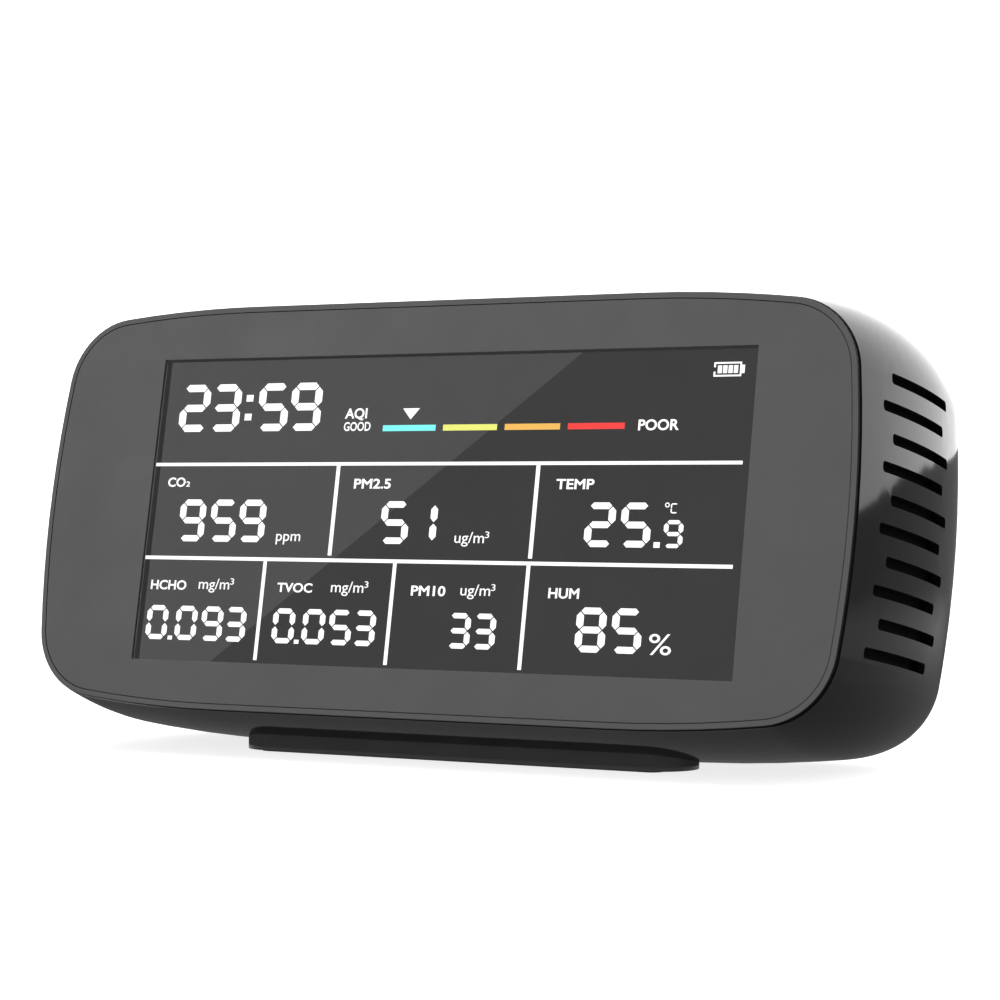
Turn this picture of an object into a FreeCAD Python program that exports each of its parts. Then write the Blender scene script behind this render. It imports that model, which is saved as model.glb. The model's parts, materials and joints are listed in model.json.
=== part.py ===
import FreeCAD, Part
import math
import os
import re
import Sketcher
from FreeCAD import Placement, Rotation, Vector

# Desktop air quality monitor: a wide barrel-shaped casing with a flat, tilted front window, staggered
# vent slots in both ends, a bar foot under the front, and push buttons and a USB-C inlet at the back.
#
# Device frame, used by every sketch: X to the right, Y up the face, Z out of the face towards the reader,
# with the origin at the middle of the face. A depth is a distance behind the face, so it is minus Z.
# World frame: Z up, front towards -Y, origin on the table under the middle of the whole device.

SIZES = (
    ("face_width", 170.0, "front face, across"),
    ("face_height", 78.3, "front face, up"),
    ("shoulder_radius", 255.0, "gentle arc that joins the straight top edge to the corner"),
    ("shoulder_angle", 6.64, "degrees the shoulder arc turns"),
    ("corner_radius", 14.07, "corner of the face"),
    ("side_angle", 6.42, "degrees from the middle of the side arc to its end"),
    ("tilt_angle", 10.65, "degrees the face leans back"),
    ("face_drop", 47.7, "middle of the face above the table"),
    ("casing_depth", 59.5, "from the face to the flat back"),
    ("bulge", 3.3, "how far the casing swells outside the face's outline"),
    ("bulge_depth", 26.4, "depth of the widest section"),
    ("rear_radius", 14.0, "rounding between the sides and the flat back"),
    ("rise", 0.025, "how far the sections climb for each millimetre of depth"),
    ("wall", 2.2, "thickness of the casing"),
    ("lip_depth", 1.1, "front edge of the casing"),
    ("rim_depth", 1.0, "thickness of the front frame's rim"),
    ("rim_radius", 0.2, "rounding on the rim's front edge"),
    ("lens_inset", 1.15, "rim outside the window panel"),
    ("lens_gap", 0.09, "gap around the window panel"),
    ("lens_thickness", 0.55, "window panel"),
    ("tape_thickness", 0.1, "double-sided tape under the window panel"),
    ("spigot_inset", 2.15, "skirt of the front frame, inside the casing's mouth"),
    ("spigot_wall", 1.6, "thickness of the skirt"),
    ("spigot_depth", 7.2, "back edge of the skirt"),
    ("floor_depth", 2.4, "back of the frame's floor"),
    ("display_width", 126.0, "lit area of the display"),
    ("display_height", 59.0, "lit area of the display"),
    ("display_x", 2.0, "middle of the display"),
    ("display_y", -0.5, "middle of the display"),
    ("glass_margin", 1.2, "display glass outside its lit area"),
    ("glass_depth", 1.2, "front of the display glass"),
    ("glass_thickness", 2.2, "display glass, both sheets"),
    ("glass_ledge", 1.0, "lower edge of the glass left bare for its cable"),
    ("backlight_thickness", 3.8, "light guide and its frame"),
    ("holder_thickness", 1.0, "plate behind the backlight"),
    ("ribbon_thickness", 0.2, "flat cables"),
    ("board_thickness", 1.6, "circuit boards"),
    ("board_width", 132.0, "main board"),
    ("board_height", 67.0, "main board"),
    ("ear_width", 144.0, "main board across its ears"),
    ("ear_height", 28.0, "ears of the main board"),
    ("ear_screw_x", 68.3, "half the distance between the ear screws"),
    ("ear_screw_y", 9.0, "half the distance between the ear screws"),
    ("ear_boss_width", 5.0, "bosses for the ear screws"),
    ("small_screw", 2.0, "M2 shank"),
    ("small_head", 3.8, "M2 head"),
    ("small_head_height", 1.3, "M2 head"),
    ("screw_slack", 0.1, "added to a shank's width to make its hole"),
    ("post_x", 70.2, "casing posts, from the middle"),
    ("post_y", 23.0, "casing posts, from the middle"),
    ("post_width", 6.4, "casing posts"),
    ("post_end", 12.0, "depth where the posts meet the frame's bosses"),
    ("post_seat", 17.0, "depth where the heads of the casing screws sit"),
    ("post_bore", 5.6, "well behind each casing screw"),
    ("long_screw", 2.8, "casing screw shank"),
    ("long_head", 5.2, "casing screw head"),
    ("long_head_height", 2.0, "casing screw head"),
    ("long_screw_length", 11.6, "casing screw, under its head"),
    ("vent_length", 26.6, "vent slot, along the depth"),
    ("vent_height", 1.95, "vent slot"),
    ("vent_corner", 0.7, "corner of a vent slot"),
    ("vent_pitch", 5.386, "from one vent slot to the next"),
    ("vent_top", 25.5, "middle of the highest slot"),
    ("vent_slope", 1.4, "degrees the slots climb towards the back"),
    ("vent_depth", 24.2, "middle of the higher row's slots, in depth"),
    ("vent_stagger", 3.15, "how far every second slot stands forward"),
    ("vent_reach", 76.0, "slots go through the wall only this far from the middle and outwards"),
    ("filter_gap", 0.25, "between the wall and the dust filter"),
    ("filter_thickness", 0.8, "dust filter"),
    ("louvre_length", 24.0, "slots in the back"),
    ("louvre_height", 1.6, "slots in the back"),
    ("louvre_pitch", 4.0, "slots in the back"),
    ("louvre_x", 51.0, "middle of each set of slots in the back"),
    ("power_board_width", 74.0, "board behind the buttons"),
    ("power_board_height", 49.0, "board behind the buttons"),
    ("power_board_y", -2.5, "board behind the buttons"),
    ("power_board_depth", 46.6, "front of the board behind the buttons"),
    ("power_post_x", 33.0, "posts for that board"),
    ("power_post_y", 20.5, "posts for that board, above and below its middle"),
    ("power_post_width", 5.0, "posts for that board"),
    ("button_pitch", 14.0, "from one button to the next"),
    ("button_y", 14.0, "row of buttons"),
    ("button_width", 7.0, "button cap"),
    ("button_gap", 0.25, "around each cap"),
    ("button_proud", 0.9, "how far a cap stands out of the back"),
    ("button_flange", 9.6, "flange that keeps a cap in"),
    ("button_flange_height", 1.1, "flange that keeps a cap in"),
    ("button_slack", 0.15, "between a flange and the back wall"),
    ("button_stem", 4.0, "stem that presses the switch"),
    ("switch_width", 6.0, "tactile switch"),
    ("switch_height", 3.5, "tactile switch"),
    ("plunger_width", 3.4, "moving core of a switch"),
    ("plunger_proud", 1.9, "how far the core stands out of its switch"),
    ("plunger_buried", 1.6, "length of the core inside its switch"),
    ("plunger_slack", 0.3, "added to the core's width to make its well"),
    ("switch_well", 2.6, "depth of the well"),
    ("usb_y", -12.0, "middle of the inlet"),
    ("usb_width", 8.94, "inlet shell"),
    ("usb_height", 3.2, "inlet shell"),
    ("usb_wall", 0.3, "inlet shell"),
    ("usb_length", 10.4, "inlet shell"),
    ("usb_slack", 0.4, "added to the shell's size to make its opening"),
    ("dust_width", 50.0, "particle sensor"),
    ("dust_height", 38.0, "particle sensor"),
    ("dust_thickness", 20.0, "particle sensor"),
    ("dust_x", 51.0, "middle of the particle sensor"),
    ("dust_depth", 11.6, "front of the particle sensor"),
    ("dust_cover", 1.0, "metal cover of the particle sensor"),
    ("fan_x", 10.0, "fan, from the middle of the particle sensor"),
    ("fan_chamber", 21.0, "width of the fan's chamber"),
    ("fan_chamber_depth", 9.0, "fan's chamber"),
    ("fan_width", 20.0, "across the blades"),
    ("fan_height", 6.8, "blades"),
    ("fan_hub", 9.0, "hub"),
    ("fan_pin", 2.0, "pin that the hub turns on"),
    ("fan_pin_slack", 0.08, "added to the pin's width to make the hub's bore"),
    ("co2_width", 32.0, "carbon dioxide sensor"),
    ("co2_height", 20.0, "carbon dioxide sensor"),
    ("co2_thickness", 10.0, "carbon dioxide sensor"),
    ("gas_cell_width", 20.0, "formaldehyde cell"),
    ("gas_cell_thickness", 12.0, "formaldehyde cell"),
    ("voc_width", 8.2, "volatile gas sensor can"),
    ("voc_height", 4.5, "volatile gas sensor can"),
    ("climate_width", 7.6, "temperature and humidity sensor"),
    ("climate_height", 12.0, "temperature and humidity sensor"),
    ("climate_thickness", 5.5, "temperature and humidity sensor"),
    ("cell_width", 18.4, "battery cell"),
    ("cell_length", 65.2, "battery cell"),
    ("cell_x", -18.0, "middle of the battery"),
    ("cell_y", -25.1, "middle of the battery"),
    ("cell_depth", 34.0, "middle of the battery"),
    ("cradle_length", 74.0, "battery cradle"),
    ("cradle_height", 13.0, "battery cradle"),
    ("cradle_thickness", 21.0, "battery cradle, along the depth"),
    ("cradle_floor", -36.0, "underside of the cradle"),
    ("contact_thickness", 1.9, "battery contact with its dimple"),
    ("foot_width", 95.4, "bar foot, across"),
    ("foot_thickness", 15.3, "bar foot, front to back"),
    ("foot_front", 9.8, "front of the foot behind the middle of the face"),
    ("foot_clearance", 0.3, "underside of the foot above the table"),
    ("strip_width", 86.0, "rubber strip under the foot"),
    ("strip_thickness", 4.6, "rubber strip, front to back"),
    ("strip_setback", 1.6, "front of the strip behind the front of the foot"),
    ("strip_height", 0.8, "rubber strip"),
    ("foot_screw_x", 36.0, "screws of the foot"),
    ("foot_screw", 2.2, "foot screw shank"),
    ("foot_screw_head", 4.2, "foot screw head"),
    ("foot_screw_head_height", 0.9, "foot screw head"),
    ("foot_screw_top", 7.6, "upper end of the foot screws, above the table"),
    ("foot_boss_width", 5.0, "bosses for the foot screws"),
    ("foot_boss_top", 8.4, "bosses for the foot screws, above the table"),
    ("pad_x", 26.0, "rear rubber pads"),
    ("pad_y", 34.9, "rear rubber pads, behind the middle of the face"),
    ("pad_width", 16.0, "rear rubber pads"),
    ("pad_thickness", 6.0, "rear rubber pads, front to back"),
    ("pad_height", 0.75, "rear rubber pads"),
)

doc = FreeCAD.newDocument("air_quality_monitor")
sheet = doc.addObject("Spreadsheet::Sheet", "Sizes")
for row, (alias, value, meaning) in enumerate(SIZES, start=1):
    sheet.set(f"A{row}", alias)
    sheet.set(f"B{row}", str(value))
    sheet.set(f"C{row}", meaning)
    sheet.setAlias(f"B{row}", alias)
doc.recompute()

ALIASES = {alias for alias, value, meaning in SIZES}


def formula(text):
    """Turn a formula of plain size names into one that reads the sheet."""
    def read(word):
        return "Sizes." + word[0] if word[0] in ALIASES else word[0]

    return re.sub(r"[a-z]\w*", read, str(text))


def size(text):
    """The value of a formula of size names, in millimetres or degrees."""
    return float(sheet.evalExpression(formula(text)))


def bind(thing, path, text):
    thing.setExpression(path, formula(text))


# ---------------------------------------------------------------- places

TILT = math.radians(size("tilt_angle"))


def barrel_radius():
    """Radius of the arc that the casing's sides follow along the depth."""
    return (size("bulge_depth") ** 2 + size("bulge") ** 2) / (2 * size("bulge"))


def rear_turn():
    """Angle at which the barrel arc hands over to the rear rounding."""
    run = size("casing_depth - rear_radius - bulge_depth")
    return math.asin(run / (barrel_radius() - size("rear_radius")))


def rear_centre():
    """Depth and growth of the rear rounding's centre."""
    reach = barrel_radius() - size("rear_radius")
    depth = size("bulge_depth") + reach * math.sin(rear_turn())
    growth = size("bulge") - barrel_radius() + reach * math.cos(rear_turn())
    return depth, growth


def middle_of_device():
    """Distance from the middle of the face back to the middle of the whole device."""
    radius = size("rim_radius")
    front = radius * math.cos(TILT) - (size("face_height") / 2 - radius) * math.sin(TILT) - radius
    depth, growth = rear_centre()
    along = math.cos(TILT) + size("rise") * math.sin(TILT)
    rear = depth * along + (size("face_height") / 2 + growth) * math.sin(TILT)
    rear += size("rear_radius") * math.hypot(along, math.sin(TILT))
    return (front + rear) / 2


LEAN = Rotation(Vector(1, 0, 0), 90 - size("tilt_angle"))
DEVICE = Placement(Vector(0, -middle_of_device(), size("face_drop")), LEAN)
NO_TURN = Rotation()
FLIPPED = Rotation(Vector(1, 0, 0), 180)

subparts = []


def in_device(x, y, depth, turn=NO_TURN):
    """Placement of something at one point of the device frame."""
    return DEVICE * Placement(Vector(x, y, -depth), turn)


def on_table(x, y, height):
    """Placement of something upright, y behind the middle of the face and at a height above the table."""
    return Placement(Vector(x, y - middle_of_device(), height), NO_TURN)


def finish(thing, label, placement):
    """Name a sub-part, put it in its place and list it for export."""
    thing.Label = label
    thing.Placement = placement
    subparts.append(thing)
    return thing


# ---------------------------------------------------------------- sketches and features

def new_body(name):
    body = doc.addObject("PartDesign::Body", "Body_" + name)
    body.AllowCompound = True
    return body


def new_sketch(body, name, plane="XY_Plane", offset=None):
    sketch = body.newObject("Sketcher::SketchObject", name)
    base = next(feature for feature in body.Origin.OriginFeatures if feature.Role == plane)
    sketch.AttachmentSupport = [(base, "")]
    sketch.MapMode = "FlatFace"
    if offset is not None:
        bind(sketch, "AttachmentOffset.Base.z", offset)
    return sketch


def dimension(sketch, kind, references, text):
    """Add one dimension whose value follows the sheet."""
    index = sketch.addConstraint(Sketcher.Constraint(kind, *references, size(text)))
    name = f"d{index}"
    sketch.renameConstraint(index, name)
    bind(sketch, "Constraints." + name, text)


def circle(sketch, width, x=0, y=0):
    centre = Vector(size(x), size(y), 0)
    ring = sketch.addGeometry(Part.Circle(centre, Vector(0, 0, 1), size(width) / 2))
    dimension(sketch, "Diameter", (ring,), width)
    dimension(sketch, "DistanceX", (-1, 1, ring, 3), x)
    dimension(sketch, "DistanceY", (-1, 1, ring, 3), y)


def rectangle(sketch, width, height, x=0, y=0):
    left = size(f"({x}) - ({width}) / 2")
    low = size(f"({y}) - ({height}) / 2")
    right = left + size(width)
    high = low + size(height)
    corners = [Vector(left, low), Vector(right, low), Vector(right, high), Vector(left, high)]
    first = len(sketch.Geometry)
    for index in range(4):
        sketch.addGeometry(Part.LineSegment(corners[index], corners[(index + 1) % 4]))
    for index in range(4):
        following = first + (index + 1) % 4
        sketch.addConstraint(Sketcher.Constraint("Coincident", first + index, 2, following, 1))
    for index, kind in enumerate(("Horizontal", "Vertical", "Horizontal", "Vertical")):
        sketch.addConstraint(Sketcher.Constraint(kind, first + index))
    dimension(sketch, "DistanceX", (first, 1, first, 2), width)
    dimension(sketch, "DistanceY", (first + 1, 1, first + 1, 2), height)
    dimension(sketch, "DistanceX", (-1, 1, first, 1), f"({x}) - ({width}) / 2")
    dimension(sketch, "DistanceY", (-1, 1, first, 1), f"({y}) - ({height}) / 2")


def rounded_rectangle(sketch, width, height, radius, x=0, y=0):
    centre = Vector(size(x), size(y), 0)
    half_w = size(width) / 2
    half_h = size(height) / 2
    r = size(radius)
    first = len(sketch.Geometry)
    for turn in (0, 90, 180, 270):
        along, across = (half_w, half_h) if turn % 180 == 0 else (half_h, half_w)
        spin = Rotation(Vector(0, 0, 1), turn)
        start = centre + spin.multVec(Vector(r - along, -across, 0))
        end = centre + spin.multVec(Vector(along - r, -across, 0))
        hub = centre + spin.multVec(Vector(along - r, r - across, 0))
        sketch.addGeometry(Part.LineSegment(start, end))
        angle = math.radians(turn)
        base = Part.Circle(hub, Vector(0, 0, 1), r)
        sketch.addGeometry(Part.ArcOfCircle(base, angle - math.pi / 2, angle))
    for index in range(8):
        sketch.addConstraint(Sketcher.Constraint("Tangent", first + index, 2, first + (index + 1) % 8, 1))
    for index, kind in ((0, "Horizontal"), (2, "Vertical"), (4, "Horizontal"), (6, "Vertical")):
        sketch.addConstraint(Sketcher.Constraint(kind, first + index))
    for index in (3, 5, 7):
        sketch.addConstraint(Sketcher.Constraint("Equal", first + 1, first + index))
    dimension(sketch, "Radius", (first + 1,), radius)
    dimension(sketch, "DistanceX", (first, 1, first, 2), f"({width}) - 2 * ({radius})")
    dimension(sketch, "DistanceY", (first + 2, 1, first + 2, 2), f"({height}) - 2 * ({radius})")
    dimension(sketch, "DistanceX", (-1, 1, first, 1), f"({x}) - ({width}) / 2 + ({radius})")
    dimension(sketch, "DistanceY", (-1, 1, first, 1), f"({y}) - ({height}) / 2")


def stadium(sketch, width, height, x=0, y=0):
    """A bar with half-round ends."""
    centre = Vector(size(x), size(y), 0)
    r = size(height) / 2
    reach = size(width) / 2 - r
    first = len(sketch.Geometry)
    for side in (1, -1):
        hub = centre + Vector(side * reach, 0, 0)
        start = centre + Vector(-side * reach, -side * r, 0)
        end = centre + Vector(side * reach, -side * r, 0)
        sketch.addGeometry(Part.LineSegment(start, end))
        base = Part.Circle(hub, Vector(0, 0, 1), r)
        low = -math.pi / 2 if side == 1 else math.pi / 2
        sketch.addGeometry(Part.ArcOfCircle(base, low, low + math.pi))
    for index in range(4):
        sketch.addConstraint(Sketcher.Constraint("Tangent", first + index, 2, first + (index + 1) % 4, 1))
    sketch.addConstraint(Sketcher.Constraint("Horizontal", first))
    dimension(sketch, "Radius", (first + 1,), f"({height}) / 2")
    dimension(sketch, "DistanceX", (first, 1, first, 2), f"({width}) - ({height})")
    dimension(sketch, "DistanceX", (-1, 1, first, 1), f"({x}) - ({width}) / 2 + ({height}) / 2")
    dimension(sketch, "DistanceY", (-1, 1, first, 1), f"({y}) - ({height}) / 2")


def pad(body, sketch, length, back=True):
    """Extrude a sketch, into the depth unless told otherwise."""
    feature = body.newObject("PartDesign::Pad", "Pad_" + sketch.Name)
    feature.Profile = sketch
    bind(feature, "Length", length)
    feature.Reversed = back
    doc.recompute()
    return feature


def pocket(body, sketch, length, back=True):
    """Cut a sketch out of the body and make sure that something went."""
    before = body.Shape.Volume
    feature = body.newObject("PartDesign::Pocket", "Pocket_" + sketch.Name)
    feature.Profile = sketch
    bind(feature, "Length", length)
    feature.Reversed = not back
    doc.recompute()
    if not feature.Shape.Volume < before - 1e-6:
        raise RuntimeError(f"{sketch.Name} cut nothing")
    return feature


def polar(body, feature, count):
    """Repeat a feature around the body's own Z axis."""
    pattern = body.newObject("PartDesign::PolarPattern", "Polar_" + feature.Name)
    pattern.Originals = [feature]
    pattern.Axis = (next(item for item in body.Origin.OriginFeatures if item.Role == "Z_Axis"), [""])
    pattern.Angle = 360
    pattern.Occurrences = count
    body.Tip = pattern
    doc.recompute()
    return pattern


def linear(body, feature, length, count, axis="Y_Axis", back=False):
    """Repeat a feature along one of the body's own axes."""
    pattern = body.newObject("PartDesign::LinearPattern", "Linear_" + feature.Name)
    pattern.Originals = [feature]
    pattern.Direction = (next(item for item in body.Origin.OriginFeatures if item.Role == axis), [""])
    bind(pattern, "Length", length)
    pattern.Occurrences = count
    pattern.Reversed = back
    body.Tip = pattern
    doc.recompute()
    return pattern


def fillet(body, feature, radius, picks):
    """Round the edges of a feature that picks() accepts."""
    edges = [f"Edge{index}" for index, edge in enumerate(feature.Shape.Edges, start=1) if picks(edge)]
    rounded = body.newObject("PartDesign::Fillet", "Fillet_" + feature.Name)
    rounded.Base = (feature, edges)
    bind(rounded, "Radius", radius)
    doc.recompute()
    return rounded


def at_height(height):
    """Accept edges that lie flat at one local height."""
    return lambda edge: all(abs(vertex.Z - height) < 1e-4 for vertex in edge.Vertexes)


def block(name, width, height, thickness, corner=None, x=0, y=0):
    """A flat piece cut from one sketch, its front at local height 0."""
    body = new_body(name)
    sketch = new_sketch(body, name + "_outline")
    if corner is None:
        rectangle(sketch, width, height, x, y)
    else:
        rounded_rectangle(sketch, width, height, corner, x, y)
    pad(body, sketch, thickness)
    return body


def screws(name, places, shank, length, head, head_height):
    """Pan-head screws with a cross recess, heads at local height 0 and up, shanks below."""
    body = new_body(name)
    heads = new_sketch(body, name + "_heads")
    shanks = new_sketch(body, name + "_shanks")
    for x, y in places:
        circle(heads, head, x, y)
        circle(shanks, shank, x, y)
    top = pad(body, heads, head_height, back=False)
    fillet(body, top, f"({head_height}) * 0.45", at_height(size(head_height)))
    pad(body, shanks, length)
    for bar, (across, up) in enumerate((("0.55", "0.16"), ("0.16", "0.55"))):
        recess = new_sketch(body, f"{name}_recess{bar}", offset=head_height)
        for x, y in places:
            rectangle(recess, f"({head}) * {across}", f"({head}) * {up}", x, y)
        pocket(body, recess, f"({head_height}) * 0.6")
    return body


# ---------------------------------------------------------------- outline of the device

def outline(growth, depth):
    """Closed outline of one section, grown outwards from the face's own outline."""
    low = math.radians(size("shoulder_angle"))
    high = math.radians(90 - size("side_angle"))
    shoulder = size("shoulder_radius")
    corner = size("corner_radius")
    half_height = size("face_height") / 2
    corner_y = half_height - shoulder + (shoulder - corner) * math.cos(low)
    side = corner + corner_y / math.cos(high)
    straight = size("face_width") / 2 - side
    straight -= (shoulder - corner) * math.sin(low) + (corner - side) * math.sin(high)
    shoulder_hub = Vector(straight, half_height - shoulder, 0)
    corner_hub = shoulder_hub + Vector(math.sin(low), math.cos(low), 0) * (shoulder - corner)
    side_hub = Vector(size("face_width") / 2 - side, 0, 0)

    def below(hub):
        return Vector(hub.x, -hub.y, 0)

    # Hub, radius, and the directions of the arc's two ends, as angles from +Y towards +X.
    right_side = (
        (shoulder_hub, shoulder, 0, low),
        (corner_hub, corner, low, high),
        (side_hub, side, high, math.pi - high),
        (below(corner_hub), corner, math.pi - high, math.pi - low),
        (below(shoulder_hub), shoulder, math.pi - low, math.pi),
    )
    edges = []
    climb = Vector(0, size("rise") * depth, -depth)
    for half in (1, -1):
        top = half * (half_height + growth)
        line = (Vector(-half * straight, top, 0) + climb, Vector(half * straight, top, 0) + climb)
        edges.append(Part.LineSegment(*line).toShape())
        for hub, radius, start, end in right_side:
            points = []
            for angle in (start, (start + end) / 2, end):
                ray = Vector(math.sin(angle), math.cos(angle), 0) * (radius + growth)
                points.append((hub + ray) * half + climb)
            edges.append(Part.Arc(*points).toShape())
    return Part.Wire(edges)


def slab(name, growth, front, back):
    """A straight-sided solid with the device's outline, from one depth to another, without the climb."""
    base = doc.addObject("Part::Feature", name + "_outline")
    wire = outline(size(growth), 0)
    wire.translate(Vector(0, 0, -size(front)))
    base.Shape = wire
    solid = doc.addObject("Part::Extrusion", name)
    solid.Base = base
    solid.DirMode = "Custom"
    solid.Dir = Vector(0, 0, -1)
    solid.Solid = True
    bind(solid, "LengthFwd", f"({back}) - ({front})")
    doc.recompute()
    return solid


def hull(name, clearance, front):
    """The casing's outside form, or the same form a clearance inside it."""
    barrel = barrel_radius() - clearance
    turn = rear_turn()
    first = math.asin((front - size("bulge_depth")) / barrel)
    sections = []
    barrel_steps = 7
    for step in range(barrel_steps):
        angle = first + (turn - first) * step / barrel_steps
        growth = size("bulge") - barrel_radius() + barrel * math.cos(angle)
        sections.append(outline(growth, size("bulge_depth") + barrel * math.sin(angle)))
    rear_steps = 9
    depth, growth = rear_centre()
    radius = size("rear_radius") - clearance
    for step in range(rear_steps + 1):
        angle = turn + (math.pi / 2 - turn) * step / rear_steps
        sections.append(outline(growth + radius * math.cos(angle), depth + radius * math.sin(angle)))
    form = doc.addObject("Part::Feature", name)
    form.Shape = Part.makeLoft(sections, True, False)
    return form


def cylinder(name, width, front, back, x, y):
    """A round bar along the depth."""
    bar = doc.addObject("Part::Cylinder", name)
    bind(bar, "Radius", f"({width}) / 2")
    bind(bar, "Height", f"({back}) - ({front})")
    bar.Placement = Placement(Vector(size(x), size(y), -size(back)), NO_TURN)
    return bar


def box(name, width, height, front, back, x=0, y=0):
    """A square-cornered bar along the depth."""
    bar = doc.addObject("Part::Box", name)
    bind(bar, "Length", width)
    bind(bar, "Width", height)
    bind(bar, "Height", f"({back}) - ({front})")
    corner = Vector(size(f"({x}) - ({width}) / 2"), size(f"({y}) - ({height}) / 2"), -size(back))
    bar.Placement = Placement(corner, NO_TURN)
    return bar


def fuse(name, pieces):
    joined = doc.addObject("Part::MultiFuse", name)
    joined.Shapes = pieces
    doc.recompute()
    return joined


def group(name, pieces):
    together = doc.addObject("Part::Compound", name)
    together.Links = pieces
    doc.recompute()
    return together


def cut(name, base, tool):
    left = doc.addObject("Part::Cut", name)
    left.Base = base
    left.Tool = tool
    doc.recompute()
    return left


def common(name, base, tool):
    shared = doc.addObject("Part::Common", name)
    shared.Base = base
    shared.Tool = tool
    doc.recompute()
    return shared


def four(x, y, middle_x=0, middle_y=0):
    """Four places, left and right, above and below a middle."""
    places = []
    for side in (-1, 1):
        for level in (-1, 1):
            places.append((f"{middle_x} + ({side}) * ({x})", f"{middle_y} + ({level}) * ({y})"))
    return places


def edges_at(shape, height):
    picks = at_height(height)
    return [index for index, edge in enumerate(shape.Edges, start=1) if picks(edge)]


def upright(name, width, depth, low, high, x, y, draw=stadium):
    """An upright bar in the world frame, given in the device frame so that it can cut the casing."""
    body = new_body(name)
    sketch = new_sketch(body, name + "_plan")
    if draw is circle:
        circle(sketch, width)
    else:
        draw(sketch, width, depth)
    pad(body, sketch, f"({high}) - ({low})", back=False)
    body.Placement = DEVICE.inverse() * on_table(size(x), size(y), size(low))
    return body


EAR_SCREWS = four("ear_screw_x", "ear_screw_y", "display_x")
POSTS = four("post_x", "post_y")
POWER_POSTS = four("power_post_x", "power_post_y", 0, "power_board_y")
BUTTONS = ("power", "menu", "up", "down")
BUTTON_PLACES = [(f"button_pitch * {index - 1.5}", "button_y") for index in range(len(BUTTONS))]
BOARD_DEPTH = "spigot_depth + holder_thickness"
BOARD_BACK = "spigot_depth + holder_thickness + board_thickness"
POWER_BOARD_BACK = "power_board_depth + board_thickness"
INNER_BACK = "casing_depth - wall"


# ---------------------------------------------------------------- front

def make_lens_panel():
    blank = slab("lens_blank", "-lens_inset", "0", "lens_thickness")
    panel = doc.addObject("Part::Chamfer", "lens_chamfer")
    panel.Base = blank
    bevel = 0.12
    panel.Edges = [(index, bevel, bevel) for index in edges_at(blank.Shape, 0)]
    doc.recompute()
    finish(panel, "lens_panel", in_device(0, 0, 0))


def make_lens_tape():
    blank = slab("tape_blank", "-lens_inset - 0.8", "lens_thickness", "lens_thickness + tape_thickness")
    window = box(
        "tape_window", "display_width + 3.6", "display_height + 3.6", "0",
        "lens_thickness + tape_thickness + 1", "display_x", "display_y",
    )
    finish(cut("tape", blank, window), "lens_tape", in_device(0, 0, 0))


def make_front_frame():
    rim_blank = slab("rim_blank", "0", "0", "rim_depth")
    rim = doc.addObject("Part::Fillet", "rim")
    rim.Base = rim_blank
    radius = size("rim_radius")
    rim.Edges = [(index, radius, radius) for index in edges_at(rim_blank.Shape, 0)]
    skirt = slab("skirt", "-spigot_inset", "rim_depth", "spigot_depth")
    inside = slab("inside", "-spigot_inset - spigot_wall", "floor_depth", "spigot_depth + 1")
    shell = cut("frame_shell", fuse("frame_blank", [rim, skirt]), inside)
    bosses = []
    boss_front = "floor_depth - 0.5"
    for index, (x, y) in enumerate(EAR_SCREWS):
        bosses.append(cylinder(f"ear_boss{index}", "ear_boss_width", boss_front, "spigot_depth", x, y))
    for index, (x, y) in enumerate(POSTS):
        bosses.append(cylinder(f"post_boss{index}", "post_width", boss_front, "post_end", x, y))
    seat = slab("lens_seat", "lens_gap - lens_inset", "-1", "lens_thickness + tape_thickness")
    window = box(
        "frame_window", "display_width + 2 * glass_margin + 0.5", "display_height + 2 * glass_margin + 0.5",
        "0", "floor_depth + 1", "display_x", "display_y",
    )
    holes = []
    small_hole = "small_screw + screw_slack"
    long_hole = "long_screw + screw_slack"
    for index, (x, y) in enumerate(EAR_SCREWS):
        span = ("floor_depth + 0.3", "spigot_depth + 1")
        holes.append(cylinder(f"ear_hole{index}", small_hole, *span, x, y))
    for index, (x, y) in enumerate(POSTS):
        span = ("floor_depth + 1", "post_end + 1")
        holes.append(cylinder(f"boss_hole{index}", long_hole, *span, x, y))
    solid = fuse("frame_solid", [shell] + bosses)
    frame = cut("frame", solid, group("frame_tools", [seat, window] + holes))
    finish(frame, "front_frame", in_device(0, 0, 0))


# ---------------------------------------------------------------- casing

def vent_tool(name, first, count):
    """One row of slots through both ends, every second slot of the whole set."""
    body = new_body(name)
    sketch = new_sketch(body, name + "_slot", "YZ_Plane")
    bind(sketch, "AttachmentOffset.Rotation.Angle", "vent_slope")
    rounded_rectangle(sketch, "vent_height", "vent_length", "vent_corner")
    feature = body.newObject("PartDesign::Pad", name + "_pad")
    feature.Profile = sketch
    bind(feature, "Length", "face_width + 40")
    feature.SideType = "Symmetric"
    linear(body, feature, f"vent_pitch * 2 * {count - 1}", count, back=True)
    depth = size(f"vent_depth - vent_stagger * {first}")
    body.Placement = Placement(Vector(0, size(f"vent_top - vent_pitch * {first}"), -depth), NO_TURN)
    return body


def louvre_tool(name, side):
    body = new_body(name)
    sketch = new_sketch(body, name + "_slot")
    stadium(sketch, "louvre_length", "louvre_height")
    slot = pad(body, sketch, "wall * 3")
    count = 6
    linear(body, slot, f"louvre_pitch * {count - 1}", count, back=True)
    top = size(f"louvre_pitch * {(count - 1) / 2} + casing_depth * rise")
    place = Vector(side * size("louvre_x"), top, -size("casing_depth - wall * 2"))
    body.Placement = Placement(place, NO_TURN)
    return body


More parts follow.
